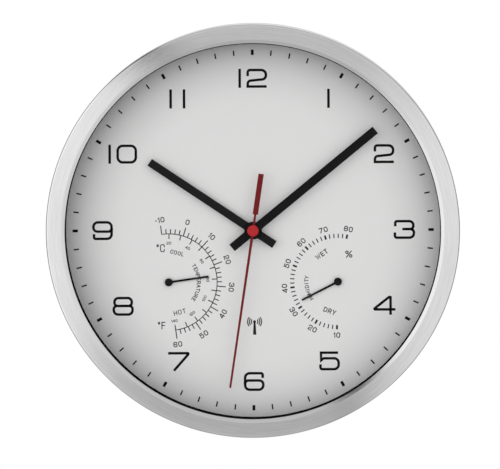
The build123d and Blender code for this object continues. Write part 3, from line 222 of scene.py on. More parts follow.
def shade(tree, **sockets):
    """A Principled shader on the material's output. Names use _ for a space in a socket's name."""
    filled = {name.replace("_", " "): value for name, value in sockets.items()}
    shader = Value.node(tree, "ShaderNodeBsdfPrincipled", None, filled)
    end = tree.nodes.new("ShaderNodeOutputMaterial")
    tree.links.new(shader.socket, end.inputs["Surface"])


def grey(value):
    return (value, value, value, 1.0)


# %% [markdown]
# The camera looks at the clock almost square on, from a little above and a little to the right, which
# the dark line inside the ring shows: it is thick at the bottom and thin at the top. It stands five
# metres away with a long lens, so that little of the recess shows all round. A small shift puts the
# clock where the photograph has it.

# %% Camera
IMAGE_WIDTH, IMAGE_HEIGHT = 500, 469
CAMERA_DISTANCE = 5.0
CAMERA_AZIMUTH = math.radians(0.75)
CAMERA_ELEVATION = math.radians(2.8)
CAMERA_ROLL = math.radians(-0.27)
SENSOR_WIDTH = 36.0
PIXELS_PER_METRE = 1657.6
RING_FACE_OUT = 37.5
RING_CENTRE_PIXEL = (252.75, 231.48)

camera_data = bpy.data.cameras.new("camera")
camera = bpy.data.objects.new("camera", camera_data)
bpy.context.collection.objects.link(camera)
sight = Vector((math.sin(CAMERA_AZIMUTH) * math.cos(CAMERA_ELEVATION),
                -math.cos(CAMERA_AZIMUTH) * math.cos(CAMERA_ELEVATION), math.sin(CAMERA_ELEVATION)))
aim = Vector((0, -RING_FACE_OUT * MM, 0))
stand = Matrix.Translation(aim + sight * CAMERA_DISTANCE)
turn = (-sight).to_track_quat("-Z", "Y").to_matrix().to_4x4()
camera.matrix_world = stand @ turn @ Matrix.Rotation(CAMERA_ROLL, 4, "Z")
camera_data.sensor_width = SENSOR_WIDTH
camera_data.lens = PIXELS_PER_METRE * CAMERA_DISTANCE * SENSOR_WIDTH / IMAGE_WIDTH
camera_data.shift_x = (IMAGE_WIDTH / 2 - RING_CENTRE_PIXEL[0]) / IMAGE_WIDTH
camera_data.shift_y = (RING_CENTRE_PIXEL[1] - IMAGE_HEIGHT / 2) / IMAGE_WIDTH
bpy.context.scene.camera = camera
print("lens", round(camera_data.lens, 1), "mm")

# %% [markdown]
# The photograph is a studio shot on white. Lamps could stand around the clock, but brushed metal shows
# where each light begins and ends, so here the light is drawn on the dome of the sky itself: a grey
# that is paler above than below, one tall soft box on the left, one on the right, and narrow dark gaps
# at the upper left and lower right. Each is a range of bearings, clockwise from twelve as seen from the
# front. The boxes stand in front of the clock and the dome is dimmer behind it, which draws a thin line
# along the ring's rim. A zone between the directions that the ring mirrors fills in light for the dial,
# a little more from the upper left. A third box far behind lights the back for other views. The camera
# itself sees plain white.

# %% Soft edges
def sines(*degrees):
    return [math.sin(math.radians(angle)) for angle in degrees]


def soft_step(tree, value, start, end):
    """0 below the start and 1 above the end, with a smooth rise between."""
    return Value.node(tree, "ShaderNodeMapRange", {"interpolation_type": "SMOOTHSTEP"},
                      {0: value, 1: start, 2: end})


def between(tree, bearing, aside, brightness, first_edge, last_edge):
    """A brightness between two bearings, each of them a soft edge with a start and an end in degrees.

    The first brightness holds in front of the clock, and it goes over to the second one at its sides.
    """
    ahead, beside = brightness
    inside = soft_step(tree, bearing, *first_edge) - soft_step(tree, bearing, *last_edge)
    return inside * (aside * (beside - ahead) + ahead)


# %% Light on the dome
DOME_LIGHT, DOME_TOP_LIFT = 0.685, 0.065
LEFT_BOX = (0.47, 0.60), (-152, -113), (-57, -35)
RIGHT_BOX = (0.39, 0.28), (25, 75), (130, 159)
UPPER_GAP = (-0.55, -0.12), (-39, -34), (-32, -28)
LOWER_GAP = (-0.13, -0.10), (150, 154), (156, 163)
SIDE_GAP = (0.0, -0.50), (-50, -41), (-33, -25)
ASIDE_EDGE, BEHIND_EDGE = sines(40, 75), (-0.05, 0.15)
FILL, FILL_LEAN, MAIN_BEARING = 0.21, 0.10, math.radians(-58)
FILL_INNER_EDGE, FILL_OUTER_EDGE = sines(33, 39), sines(45, 51)
BEHIND, BEHIND_LIFT = 0.25, 0.60
BACK_BOX, BACK_BOX_EDGE = 0.50, sines(38, 66)
AXIS_SOFTENING = 0.05

world = bpy.data.worlds.new("studio")
world.use_nodes = True
sky = world.node_tree
sky.nodes.clear()
toward = Value.node(sky, "ShaderNodeTexCoord", output=0)
right, back, up = (Value.node(sky, "ShaderNodeSeparateXYZ", None, {0: toward}, output=n) for n in range(3))
bearing = right.math("ARCTAN2", right, up) * math.degrees(1)
from_axis = (right * right + up * up) ** 0.5
upness = up / (from_axis + AXIS_SOFTENING)
aside = soft_step(sky, from_axis, *ASIDE_EDGE)
behind = soft_step(sky, back, *BEHIND_EDGE)
glow = upness * DOME_TOP_LIFT + DOME_LIGHT
for box in (LEFT_BOX, RIGHT_BOX):
    glow = glow + between(sky, bearing, aside, *box) * (1.0 - behind)
for gap in (UPPER_GAP, LOWER_GAP, SIDE_GAP):
    glow = glow + between(sky, bearing, aside, *gap)
glow = glow * (behind * (upness * upness * BEHIND_LIFT + (BEHIND - 1.0)) + 1.0)
lean = right * (math.sin(MAIN_BEARING) * FILL_LEAN) + up * (math.cos(MAIN_BEARING) * FILL_LEAN)
zone = soft_step(sky, from_axis, *FILL_INNER_EDGE) - soft_step(sky, from_axis, *FILL_OUTER_EDGE)
glow = glow + zone * (1.0 - behind) * (lean / (from_axis + AXIS_SOFTENING) + FILL)
glow = glow + soft_step(sky, back, *BACK_BOX_EDGE) * BACK_BOX
dome = Value.node(sky, "ShaderNodeBackground", None, {"Color": grey(1.0), "Strength": glow})
backdrop = Value.node(sky, "ShaderNodeBackground", None, {"Color": grey(1.0), "Strength": 1.0})
seen = Value.node(sky, "ShaderNodeLightPath", output=0)
both = Value.node(sky, "ShaderNodeMixShader", None, {0: seen, 1: dome, 2: backdrop})
sky.links.new(both.socket, sky.nodes.new("ShaderNodeOutputWorld").inputs["Surface"])
bpy.context.scene.world = world
bpy.context.scene.view_settings.view_transform = "Standard"
print("studio with", len(sky.nodes), "nodes in its sky")

# %% [markdown]
# The floor is pale and lies well below the clock, as under a wall. The metal doesn't mirror it, it fades
# out far away, and from below it is clear, so that the clock can be seen from there too.

# %% Floor
FLOOR_DROP, FLOOR_SIDE, FLOOR_AHEAD, FLOOR_BEHIND = 0.6, 6.0, -6.0, 4.5
FLOOR_FADE = 2.8, 4.4


def pale_floor():
    """Pale matt paint that glows a little, fades out far from the clock and is clear from below."""
    material, tree = new_material("pale_floor")
    x, y, z, vector = places(tree)
    pale = mix_colour(tree, cloud(tree, vector, 2.0), grey(0.90), grey(0.93))
    below = Value.node(tree, "ShaderNodeNewGeometry", output=6)
    shown = (1.0 - below) * (1.0 - soft_step(tree, (x * x + y * y) ** 0.5, *FLOOR_FADE))
    shade(tree, Base_Color=pale, Roughness=0.8, Emission_Color=grey(1.0), Emission_Strength=0.30,
          Alpha=shown)
    return material


floor_right, floor_deep = np.meshgrid([-FLOOR_SIDE, FLOOR_SIDE], [FLOOR_AHEAD, FLOOR_BEHIND])
floor_up = np.full_like(floor_right, -FLOOR_DROP)
floor_points = np.stack([floor_right, floor_deep, floor_up], axis=-1).reshape(-1, 3)
floor_mesh = bpy.data.meshes.new("floor")
floor_mesh.from_pydata(floor_points.tolist(), [], [(0, 1, 3, 2)])
floor_mesh.materials.append(pale_floor())
floor = bpy.data.objects.new("floor", floor_mesh)
bpy.context.collection.objects.link(floor)
floor.visible_glossy = floor.visible_diffuse = False
print("floor", FLOOR_DROP, "m below the hands' axis")

# %% [markdown]
# The ring is spun from aluminium sheet: a flat outer wall, a thin rounded edge, a face that rises
# towards the dial, a crest, and a slope down to the lens. A lathe or a Screw modifier could turn its
# section; here the section is a path with rounded corners, and the ring is that path turned about the
# hands' axis: point (angle, step) is (r sin a, r cos a) at the section's height.

# %% Paths with rounded corners
def rounded_path(corners, closed=False, steps=6):
    """Straight runs between corners (across, up, radius), each corner replaced by an arc.

    At a corner the arc starts and ends where it touches the two runs, radius * tan(turn / 2) away from
    the corner and never over half of the shorter run. Between these two points it is a quadratic curve
    with the corner as its handle, whose weight, the sine of half the opening, makes it a true circle.
    """
    corners = np.array([(c + (0.0,))[:3] for c in corners], float)
    spots, radii = corners[:, :2], corners[:, 2]
    before = np.roll(spots, 1, axis=0) - spots
    after = np.roll(spots, -1, axis=0) - spots
    run_before, run_after = np.linalg.norm(before, axis=1), np.linalg.norm(after, axis=1)
    to_before = before / run_before[:, None]
    to_after = after / run_after[:, None]
    opening = np.arccos(np.clip((to_before * to_after).sum(axis=1), -1, 1))
    reach = radii / np.tan(np.maximum(opening, 0.05) / 2)
    reach = np.minimum(reach, 0.499 * np.minimum(run_before, run_after) * np.where(radii > 0, 1, 0))
    if not closed:
        reach[[0, -1]] = 0.0
    t = np.linspace(0, 1, steps)[None, :, None]
    start, end = spots + to_before * reach[:, None], spots + to_after * reach[:, None]
    start, end, middle = start[:, None], end[:, None], spots[:, None]
    weight = np.sin(opening / 2)[:, None, None]
    top = (1 - t) ** 2 * start + 2 * weight * t * (1 - t) * middle + t ** 2 * end
    arcs = top / ((1 - t) ** 2 + 2 * weight * t * (1 - t) + t ** 2)
    path = arcs.reshape(-1, 2)
    keep = np.linalg.norm(path - np.roll(path, 1, axis=0), axis=1) > 1e-9
    keep[0] = True
    return path[keep]


# %% Brushed ring
RING_STEPS, SHARP_TURN = 720, math.radians(28)
RING_WALL, CREST_INSET = 1.2, 2.1
EDGE_DROP, SLOPE_DROP, LIP_DROP = 1.8, 1.3, 2.5
BACK_ROUNDING, EDGE_ROUNDING, CREST_ROUNDING, SLOPE_ROUNDING, LIP_ROUNDING = 0.25, 1.5, 0.35, 0.15, 0.05


def turned_ring(section, steps=RING_STEPS):
    """Point (angle a, step s) is (r_s sin a, r_s cos a) at height h_s."""
    angle = np.linspace(0, 2 * np.pi, steps, endpoint=False)[:, None]
    radius = section[None, :, 0]
    height = np.broadcast_to(section[None, :, 1], (steps, len(section)))
    points = on_wall(radius * np.sin(angle), radius * np.cos(angle), height).reshape(-1, 3)
    return points, outward(points, grid_faces(steps, len(section), True, True))


rim, bore, back_edge, front = ring_sizes("bezel_ring")
inside = rim - RING_WALL
ring_section = [(rim, back_edge, BACK_ROUNDING), (rim, front - EDGE_DROP, EDGE_ROUNDING),
                (bore + CREST_INSET, front, CREST_ROUNDING), (bore, front - SLOPE_DROP, SLOPE_ROUNDING),
                (bore, front - LIP_DROP, LIP_ROUNDING), (inside, front - LIP_DROP), (inside, back_edge)]
ring_points, ring_quads = turned_ring(rounded_path(ring_section, closed=True))
ring = make_piece("bezel_brushed", ring_points, ring_quads, "case", "brushed_aluminium", smooth=True)
ring.data.set_sharp_from_angle(angle=SHARP_TURN)
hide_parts("bezel_ring")

# %% [markdown]
# Brushing runs round the ring: hundreds of fine grooves that are much longer than they are wide. A
# noise that is stretched along the turn gives them. Its coordinates are the direction from the axis,
# which changes slowly, and the distance from the axis, which changes fast. The grooves tilt the surface
# only inwards and outwards, and this draws the bright fans on the left and right.

# %% Brushed aluminium
def brushed_aluminium(name, light=0.79, dark=0.52, groove=3.0e-5, rough=0.09):
    material, tree = new_material(name)
    x, y, z, vector = places(tree)
    radius = (x * x + z * z) ** 0.5
    round_x, round_z = x / (radius + 1e-5), z / (radius + 1e-5)
    across = radius - y
    grooves = cloud(tree, join_xyz(tree, round_x * 4.0, round_z * 4.0, across * 3800.0), 1.0, 2.0, 0.6)
    hairs = cloud(tree, join_xyz(tree, round_x * 6.0, round_z * 6.0, across * 1700.0), 1.0, 4.0, 0.65)
    wear = cloud(tree, vector, 24.0)
    tone = mix_colour(tree, hairs * 0.7 + wear * 0.3, grey(dark), grey(light))
    shade(tree, Base_Color=tone, Metallic=1.0, Roughness=rough + hairs * 0.08,
          Normal=bump(tree, grooves, groove))
    return material


ring.data.materials.append(brushed_aluminium("brushed_aluminium"))

# %% [markdown]
# All marks on the dial are printed ink: ticks, numbers and words. Blender's text could do it, but a
# drawn letter is only a pen line with a width, so each sign is a path with rounded corners and a pen
# carries a flat section along it. The numbers are wide and square with round corners, and the one is a
# plain bar.

# %% The pen
DIAL_FRONT = front_of("dial_plate")
INK_RISE, INK_SINK = 0.03, 0.02


def pen_stroke(path, width, closed=False):
    """A flat bar along a path: the section is width by ink thickness, and its sides meet in mitres.

    At each point the mitre is the sum of the unit normals of the two runs that meet there, made as
    long as half the width divided by the cosine of half their turn, and never over twice that width.
    """
    ahead = np.roll(path, -1, axis=0) - path
    ahead = ahead / np.maximum(np.linalg.norm(ahead, axis=1), 1e-12)[:, None]
    behind = np.roll(ahead, 1, axis=0)
    if not closed:
        ahead[-1], behind[0] = behind[-1], ahead[0]
    mitre = np.stack([-(ahead + behind)[:, 1], (ahead + behind)[:, 0]], axis=1)
    length = np.maximum(np.linalg.norm(mitre, axis=1), 0.5)
    mitre = mitre / length[:, None] * np.minimum(2.0 / length, 2.0)[:, None] * width / 2
    left, right = path + mitre, path - mitre
    across = np.stack([left, right, right, left], axis=1)
    out = np.broadcast_to([DIAL_FRONT + INK_RISE, DIAL_FRONT + INK_RISE, DIAL_FRONT - INK_SINK,
                           DIAL_FRONT - INK_SINK], across.shape[:2])
    points = on_wall(across[..., 0], across[..., 1], out).reshape(-1, 3)
    quads = grid_faces(len(path), 4, closed, True)
    if not closed:
        last = 4 * (len(path) - 1)
        quads = np.concatenate([quads, [[0, 1, 2, 3], [last + 3, last + 2, last + 1, last]]])
    return points, outward(points, quads)


def join_strokes(strokes):
    """Many strokes as one set of points and quads."""
    points, quads = zip(*strokes)
    starts = np.cumsum([0] + [len(stroke) for stroke in points[:-1]])
    return np.concatenate(points), np.concatenate([stroke + start for stroke, start in zip(quads, starts)])


# %% Signs as pen lines
# A sign is a width and its lines, in a box one unit high: corners (across, up, radius), with across
# from 0 to 1 over the width. A line that ends with True is closed. The sign | is the one with a flag
# that the small scales have.
BOWL = 0.27
SIGNS = {
    "0": (1.1, [[(0, 0, .3), (1, 0, .3), (1, 1, .3), (0, 1, .3), True]]),
    "1": (0.0, [[(0, 0), (0, 1)]]),
    "2": (1.1, [[(0, .71), (0, 1, BOWL), (1, 1, .3), (1, .45, .24), (0, .34, .24), (0, 0), (.97, 0)]]),
    "3": (1.13, [[(0, .77), (0, 1, BOWL), (.97, 1, BOWL), (.97, .52, .18), (.45, .52)],
                 [(.60, .52), (1, .52, .20), (1, 0, BOWL), (-.02, 0, BOWL), (-.02, .24)]]),
    "4": (1.13, [[(.82, 0), (.82, 1, .02), (.74, 1, .02), (-.035, .31, .02), (-.035, .25, .02),
                  (1.01, .25)]]),
    "5": (1.1, [[(.90, 1), (.03, 1), (.03, .52), (.16, .66, .10), (1, .66, BOWL), (1, 0, BOWL),
                 (0, 0, BOWL), (0, .22)]]),
    "6": (1.1, [[(.97, .79), (.97, 1, BOWL), (0, 1, BOWL), (0, 0, BOWL), (1, 0, BOWL), (1, .56, .24),
                 (.10, .56, .16), (0, .42)]]),
    "7": (1.12, [[(0, 1), (1.02, 1, .02), (1.02, .93, .02), (.29, .0)]]),
    "8": (1.14, [[(.04, .52, .19), (.96, .52, .19), (.96, 1, .25), (.04, 1, .25), True],
                 [(0, 0, BOWL), (1, 0, BOWL), (1, .52, .19), (0, .52, .19), True]]),
    "9": (1.1, [[(.03, .21), (.03, 0, BOWL), (1, 0, BOWL), (1, 1, BOWL), (0, 1, BOWL), (0, .44, .24),
                 (.90, .44, .16), (1, .58)]]),
    "|": (0.34, [[(.1, .80), (1, 1), (1, 0)]]),
    "-": (0.35, [[(0, .42), (1, .42)]]),
    "°": (0.28, [[(0, .72, .14), (1, .72, .14), (1, 1, .14), (0, 1, .14), True]]),
    "%": (1.0, [[(.0, .60, .19), (.38, .60, .19), (.38, 1, .19), (0, 1, .19), True],
                [(.62, 0, .19), (1, 0, .19), (1, .40, .19), (.62, .40, .19), True], [(.12, 0), (.88, 1)]]),
    "A": (0.85, [[(0, 0), (.46, 1), (.54, 1), (1, 0)], [(.18, .34), (.82, .34)]]),
    "C": (0.8, [[(1, .70), (1, 1, .3), (0, 1, .3), (0, 0, .3), (1, 0, .3), (1, .30)]]),
    "D": (0.8, [[(0, 0), (1, 0, .36), (1, 1, .36), (0, 1), True]]),
    "E": (0.65, [[(1, 1), (0, 1), (0, 0), (1, 0)], [(0, .52), (.85, .52)]]),
    "F": (0.65, [[(1, 1), (0, 1), (0, 0)], [(0, .52), (.85, .52)]]),
    "H": (0.75, [[(0, 0), (0, 1)], [(1, 0), (1, 1)], [(0, .52), (1, .52)]]),
    "I": (0.0, [[(0, 0), (0, 1)]]),
    "L": (0.6, [[(0, 1), (0, 0), (1, 0)]]),
    "M": (0.95, [[(0, 0), (0, 1), (.5, .25), (1, 1), (1, 0)]]),
    "O": (0.9, [[(0, 0, .36), (1, 0, .36), (1, 1, .36), (0, 1, .36), True]]),
    "P": (0.7, [[(0, 0), (0, 1), (1, 1, .26), (1, .46, .26), (0, .46)]]),
    "R": (0.75, [[(0, 0), (0, 1), (1, 1, .26), (1, .46, .26), (0, .46)], [(.55, .46), (1, 0)]]),
    "T": (0.75, [[(0, 1), (1, 1)], [(.5, 1), (.5, 0)]]),
    "U": (0.75, [[(0, 1), (0, 0, .33), (1, 0, .33), (1, 1)]]),
    "W": (1.15, [[(0, 1), (.25, 0), (.5, .9), (.75, 0), (1, 1)]]),
    "Y": (0.8, [[(0, 1), (.5, .45), (1, 1)], [(.5, .45), (.5, 0)]]),
}


def square_ends(path, reach):
    """The same line with both ends carried on straight by a reach, as a square pen leaves them."""
    ends, inner = path[[0, -1]], path[[1, -2]]
    way = (ends - inner) / np.linalg.norm(ends - inner, axis=1)[:, None]
    longer = path.copy()
    longer[[0, -1]] = ends + way * reach
    return longer


def write(text, place, height, pen, turn=0.0, squeeze=1.0, gap=0.36):
    """The strokes of a word whose middle is at a place on the dial, turned clockwise by some degrees.

    Height is from edge to edge, so the pen's line is one pen width less. The gap between two signs is a
    share of the height. A corner that names no radius is sharp.
    """
    tall = height - pen
    widths = [SIGNS[sign][0] * tall * squeeze for sign in text]
    starts = np.cumsum([0] + [w + gap * height for w in widths[:-1]])
    whole = starts[-1] + widths[-1]
    c, s = math.cos(math.radians(turn)), math.sin(math.radians(turn))
    strokes = []
    for sign, start, wide in zip(text, starts, widths):
        for line in SIGNS[sign][1]:
            closed = line[-1] is True
            corners = [(start + p[0] * wide - whole / 2, p[1] * tall - tall / 2, sum(p[2:]) * tall)
                       for p in (line[:-1] if closed else line)]
            path = rounded_path(corners, closed)
            if not closed:
                path = square_ends(path, pen / 2)
            path = np.stack([path[:, 0] * c + path[:, 1] * s, path[:, 1] * c - path[:, 0] * s], axis=1)
            strokes.append(pen_stroke(path + place, pen, closed))
    return strokes


def at_clock(radius, degrees, centre=(0.0, 0.0)):
    """The place at a radius from a centre, clockwise from twelve."""
    a = np.radians(degrees)
    return np.stack([centre[0] + radius * np.sin(a), centre[1] + radius * np.cos(a)], axis=-1)


# %% Black ink
def printing_ink(name, colour, rough=0.55):
    """Ink: its colour thins out a little in soft clouds, as a printed film does."""
    material, tree = new_material(name)
    x, y, z, vector = places(tree)
    film = cloud(tree, vector, 900.0)
    paler = tuple(1.3 * c + 0.002 for c in colour[:3]) + (1.0,)
    shade(tree, Base_Color=mix_colour(tree, film, colour, paler), Roughness=rough + film * 0.15,
          Specular_IOR_Level=0.06)
    return material


black_ink = printing_ink("black_ink", (0.005, 0.005, 0.005, 1.0))
grey_ink = printing_ink("grey_ink", (0.025, 0.025, 0.025, 1.0))

# %% [markdown]
# The minute track is sixty short bars, and every fifth one is thicker. A bar is a straight pen stroke
# from one radius to another.

# %% Minute track
TICK_INNER, TICK_OUTER = 106.05, 109.32
HOUR_TICK, MINUTE_TICK = 1.7, 0.88


def tick(inner, outer, degrees, width, centre=(0.0, 0.0)):
    ends = [at_clock(inner, degrees, centre), at_clock(outer, degrees, centre)]
    return pen_stroke(np.array(ends), width)


track = [tick(TICK_INNER, TICK_OUTER, 6 * n, HOUR_TICK if n % 5 == 0 else MINUTE_TICK) for n in range(60)]
minute_track = make_piece("dial_minute_track", *join_strokes(track), "case", "dial_white")
minute_track.data.materials.append(black_ink)

# %% [markdown]
# The twelve numbers stand upright, all of the same height and pen, on a circle that the eye would call
# round: it is half a millimetre higher than wide, and ten stands a little further up and to the right.
# On the real dial they are screen printed with the track. The two bars of eleven stand further apart
# than other signs.

# %% Numbers one to twelve
NUMBER_ACROSS, NUMBER_UP, NUMBER_CENTRE = 91.4, 91.85, (0.25, 0.13)
NUMBER_HEIGHT, NUMBER_PEN = 11.55, 1.56
NUMBER_GAP, ELEVEN_GAP = 0.42, 0.7
TEN_ASIDE = (0.26, 0.36)
numbers = []
for hour in range(1, 13):
    place = NUMBER_CENTRE + at_clock(1.0, 30 * hour) * (NUMBER_ACROSS, NUMBER_UP)
    if hour == 10:
        place = place + TEN_ASIDE
    gap = ELEVEN_GAP if hour == 11 else NUMBER_GAP
    numbers += write(str(hour), place, NUMBER_HEIGHT, NUMBER_PEN, gap=gap)
numerals = make_piece("dial_numerals", *join_strokes(numbers), "case", "dial_white")
numerals.data.materials.append(black_ink)

# %% [markdown]
# The thermometer's print has one thin arc, with Celsius ticks outside it and Fahrenheit ticks inside.
# Numbers stand radially with their tops outwards in the upper part, and turn over in the lower part so
# that they can be read.

# %% Thermometer print
HEAT_CENTRE = middle_of("thermometer_cup")
COLDEST, HOTTEST = -10, 60
HEAT_START, HEAT_SPAN = -8.0, 180.0
HEAT_ARC = 29.3
CELSIUS_TENS_TICK, CELSIUS_TICK, FAHRENHEIT_TICK = 5.3, 2.9, 3.1
HEAT_LINE, HEAT_TICK = 0.5, 0.6
CELSIUS_RADIUS, FAHRENHEIT_RADIUS = 38.05, 23.7
SCALE_HEIGHT, SCALE_PEN = 3.25, 0.55


def heat_angle(degrees_celsius):
    return HEAT_START + (degrees_celsius - COLDEST) / (HOTTEST - COLDEST) * HEAT_SPAN


def celsius(fahrenheit):
    return (fahrenheit - 32) / 1.8


def scale_word(text, radius, degrees, height, pen, centre, flip=False, squeeze=0.62):
    """A word on a scale: its top points outwards, or to the centre if it is flipped."""
    place = at_clock(radius, degrees, centre)
    turn = degrees + (180 if flip else 0)
    return write(text.replace("1", "|"), place, height, pen, turn, squeeze, gap=0.34)


arc = at_clock(HEAT_ARC, np.linspace(heat_angle(COLDEST), heat_angle(HOTTEST), 120), HEAT_CENTRE)
heat = [pen_stroke(arc, HEAT_LINE)]
for c in range(COLDEST, HOTTEST + 1, 2):
    reach = CELSIUS_TENS_TICK if c % 10 == 0 else CELSIUS_TICK
    heat.append(tick(HEAT_ARC, HEAT_ARC + reach, heat_angle(c), HEAT_TICK, HEAT_CENTRE))
for f in range(20, 141, 10):
    heat.append(tick(HEAT_ARC - FAHRENHEIT_TICK, HEAT_ARC, heat_angle(celsius(f)), HEAT_TICK, HEAT_CENTRE))
for c in range(COLDEST, HOTTEST + 1, 10):
    heat += scale_word(str(c), CELSIUS_RADIUS, heat_angle(c), SCALE_HEIGHT, SCALE_PEN, HEAT_CENTRE, c > 30)
heat_scale = make_piece("thermometer_scale", *join_strokes(heat), "case", "dial_white")
heat_scale.data.materials.append(grey_ink)

# %% [markdown]
# The words of the thermometer are much smaller, and one of them follows an arc. Where a word stands
# alone, its place was read off the photograph, and one function turns that pixel into millimetres on
# the dial.

# %% Thermometer words
FAHRENHEIT_HEIGHT, FAHRENHEIT_PEN = 1.75, 0.32
ARC_WORD_HEIGHT, ARC_WORD_PEN = 2.4, 0.42
HEAT_WORD_RADIUS, HEAT_WORD_BEARINGS = 18.2, (57, 125)
UNIT_PEN, HEAT_WORD_PEN = 0.58, 0.42
CELSIUS_PIXEL, COOL_PIXEL = (160.0, 247.6), (176.4, 252.4)
FAHRENHEIT_PIXEL, HOT_PIXEL = (160.6, 325.1), (178.8, 311.7)
DIAL_CENTRE_PIXEL, DIAL_PIXELS_PER_MM = (252.5, 230.0), 1.6517


def from_pixel(pixel):
    """A place on the dial from its pixel in the photograph's frame, right and down."""
    right, down = np.subtract(pixel, DIAL_CENTRE_PIXEL) / DIAL_PIXELS_PER_MM
    return right, -down


def curved_word(text, radius, bearings, centre):
    """Signs set one by one along an arc from one bearing to another, with their tops outwards."""
    strokes = []
    for sign, degrees in zip(text, np.linspace(*bearings, len(text))):
        strokes += scale_word(sign, radius, degrees, ARC_WORD_HEIGHT, ARC_WORD_PEN, centre, squeeze=0.9)
    return strokes


small = []
for f in range(20, 141, 20):
    small += scale_word(str(f), FAHRENHEIT_RADIUS, heat_angle(celsius(f)), FAHRENHEIT_HEIGHT,
                        FAHRENHEIT_PEN, HEAT_CENTRE, f > 80)
small += curved_word("TEMPERATURE", HEAT_WORD_RADIUS, HEAT_WORD_BEARINGS, HEAT_CENTRE)
small += write("°C", from_pixel(CELSIUS_PIXEL), height=4.8, pen=UNIT_PEN, squeeze=0.68, gap=0.26)
small += write("COOL", from_pixel(COOL_PIXEL), height=2.5, pen=HEAT_WORD_PEN, turn=14, squeeze=0.78)
small += write("HOT", from_pixel(HOT_PIXEL), height=2.9, pen=HEAT_WORD_PEN, turn=-14, squeeze=0.82)
small += write("°F", from_pixel(FAHRENHEIT_PIXEL), height=4.5, pen=UNIT_PEN, squeeze=0.7, gap=0.3)
heat_words = make_piece("thermometer_words", *join_strokes(small), "case", "dial_white")
heat_words.data.materials.append(grey_ink)

# %% [markdown]
# The hygrometer has no arc, only ticks from 10 to 80 percent with a thicker one at each ten. Its spiral
# turns the other way, so the scale runs clockwise from the bottom over the left to the top.

# %% Hygrometer print
DAMP_CENTRE = middle_of("hygrometer_cup")
DRIEST, DAMPEST = 10, 80
DAMP_START, DAMP_SPAN = 181.4, 190.1
DAMP_INNER, DAMP_OUTER = 26.4, 29.0
DAMP_TENS_TICK, DAMP_TICK = 1.15, 0.65
DAMP_NUMBER_RADIUS = 32.45
DAMP_WORD_RADIUS, DAMP_WORD_BEARINGS = 19.1, (238, 278)
DAMP_WORD_HEIGHT, DAMP_WORD_PEN, DAMP_WORD_SQUEEZE = 3.0, 0.52, 0.86
PERCENT_PIXEL, WET_PIXEL, DRY_PIXEL = (348.1, 254.3), (321.0, 254.3), (328.8, 311.2)


def damp_angle(percent):
    return DAMP_START + (percent - DRIEST) / (DAMPEST - DRIEST) * DAMP_SPAN


damp = []
for p in range(DRIEST, DAMPEST + 1, 2):
    width = DAMP_TENS_TICK if p % 10 == 0 else DAMP_TICK
    damp.append(tick(DAMP_INNER, DAMP_OUTER, damp_angle(p), width, DAMP_CENTRE))
for p in range(DRIEST, DAMPEST + 1, 10):
    damp += scale_word(str(p), DAMP_NUMBER_RADIUS, damp_angle(p), SCALE_HEIGHT, SCALE_PEN, DAMP_CENTRE,
                       p < 35)
damp += write("%", from_pixel(PERCENT_PIXEL), height=4.3, pen=0.62)
for word, pixel, turn in (("WET", WET_PIXEL, -35), ("DRY", DRY_PIXEL, 20)):
    damp += write(word, from_pixel(pixel), DAMP_WORD_HEIGHT, DAMP_WORD_PEN, turn, DAMP_WORD_SQUEEZE)
damp += curved_word("HUMIDITY", DAMP_WORD_RADIUS, DAMP_WORD_BEARINGS, DAMP_CENTRE)
damp_scale = make_piece("hygrometer_scale", *join_strokes(damp), "case", "dial_white")
damp_scale.data.materials.append(grey_ink)

# %% [markdown]
# A small mast sign near the bottom of the dial says that the clock is set by radio: a ball on a mast
# that widens downwards, and waves on both sides.

# %% Radio sign
MAST_TOP_PIXEL = (253.6, 321.6)
MAST_HEIGHT, MAST_PEN, MAST_HALF_TOP, MAST_WIDENING = 7.9, 0.62, 0.23, 3
BALL_RADIUS, BALL_PEN = 0.45, 0.88
WAVE_RADII, WAVE_PEN, WAVE_HALF_ANGLE = (2.0, 3.15, 4.25), 0.66, 40
mast_top = from_pixel(MAST_TOP_PIXEL)
mast_right, mast_up = mast_top
mast = []
for side in (-MAST_HALF_TOP, 0.0, MAST_HALF_TOP):
    leg = [(mast_right + side, mast_up), (mast_right + MAST_WIDENING * side, mast_up - MAST_HEIGHT)]
    mast.append(pen_stroke(np.array(leg), MAST_PEN))
ball = at_clock(BALL_RADIUS, np.linspace(0, 360, 16, endpoint=False), mast_top)
mast.append(pen_stroke(ball, BALL_PEN, True))
for radius in WAVE_RADII:
    for side in (90, 270):
        bend = np.linspace(side - WAVE_HALF_ANGLE, side + WAVE_HALF_ANGLE, 13)
        mast.append(pen_stroke(at_clock(radius, bend, mast_top), WAVE_PEN))
radio_sign = make_piece("radio_sign", *join_strokes(mast), "case", "dial_white")
radio_sign.data.materials.append(grey_ink)

# %% [markdown]
# Now the solids from the CAD model get their finishes. A finish is one function with a few numbers, so
# pieces of the same stuff share it. The function that hangs a material on a node keeps its mesh.

# %% Dressing a node
def dress(material, *names):
    for name in names:
        nodes[name].data.materials.clear()
        nodes[name].data.materials.append(material)
    print(material.name, "on", ", ".join(names))


def moulded_plastic(name, colour, rough=0.45, grain=1500.0, relief=1.2e-5, shift=0.15, gloss=0.5):
    """Moulded plastic: a fine grain, and soft clouds that change its shade and gloss a little."""
    material, tree = new_material(name)
    x, y, z, vector = places(tree)
    clouds, fine = cloud(tree, vector, 35.0), cloud(tree, vector, grain, 2.0)
    paler = tuple(min(1.0, c * (1 + shift) + 0.002) for c in colour[:3]) + (1.0,)
    shade(tree, Base_Color=mix_colour(tree, clouds, colour, paler), Roughness=rough + clouds * 0.12 - 0.06,
          Specular_IOR_Level=gloss, Normal=bump(tree, fine, relief))
    return material


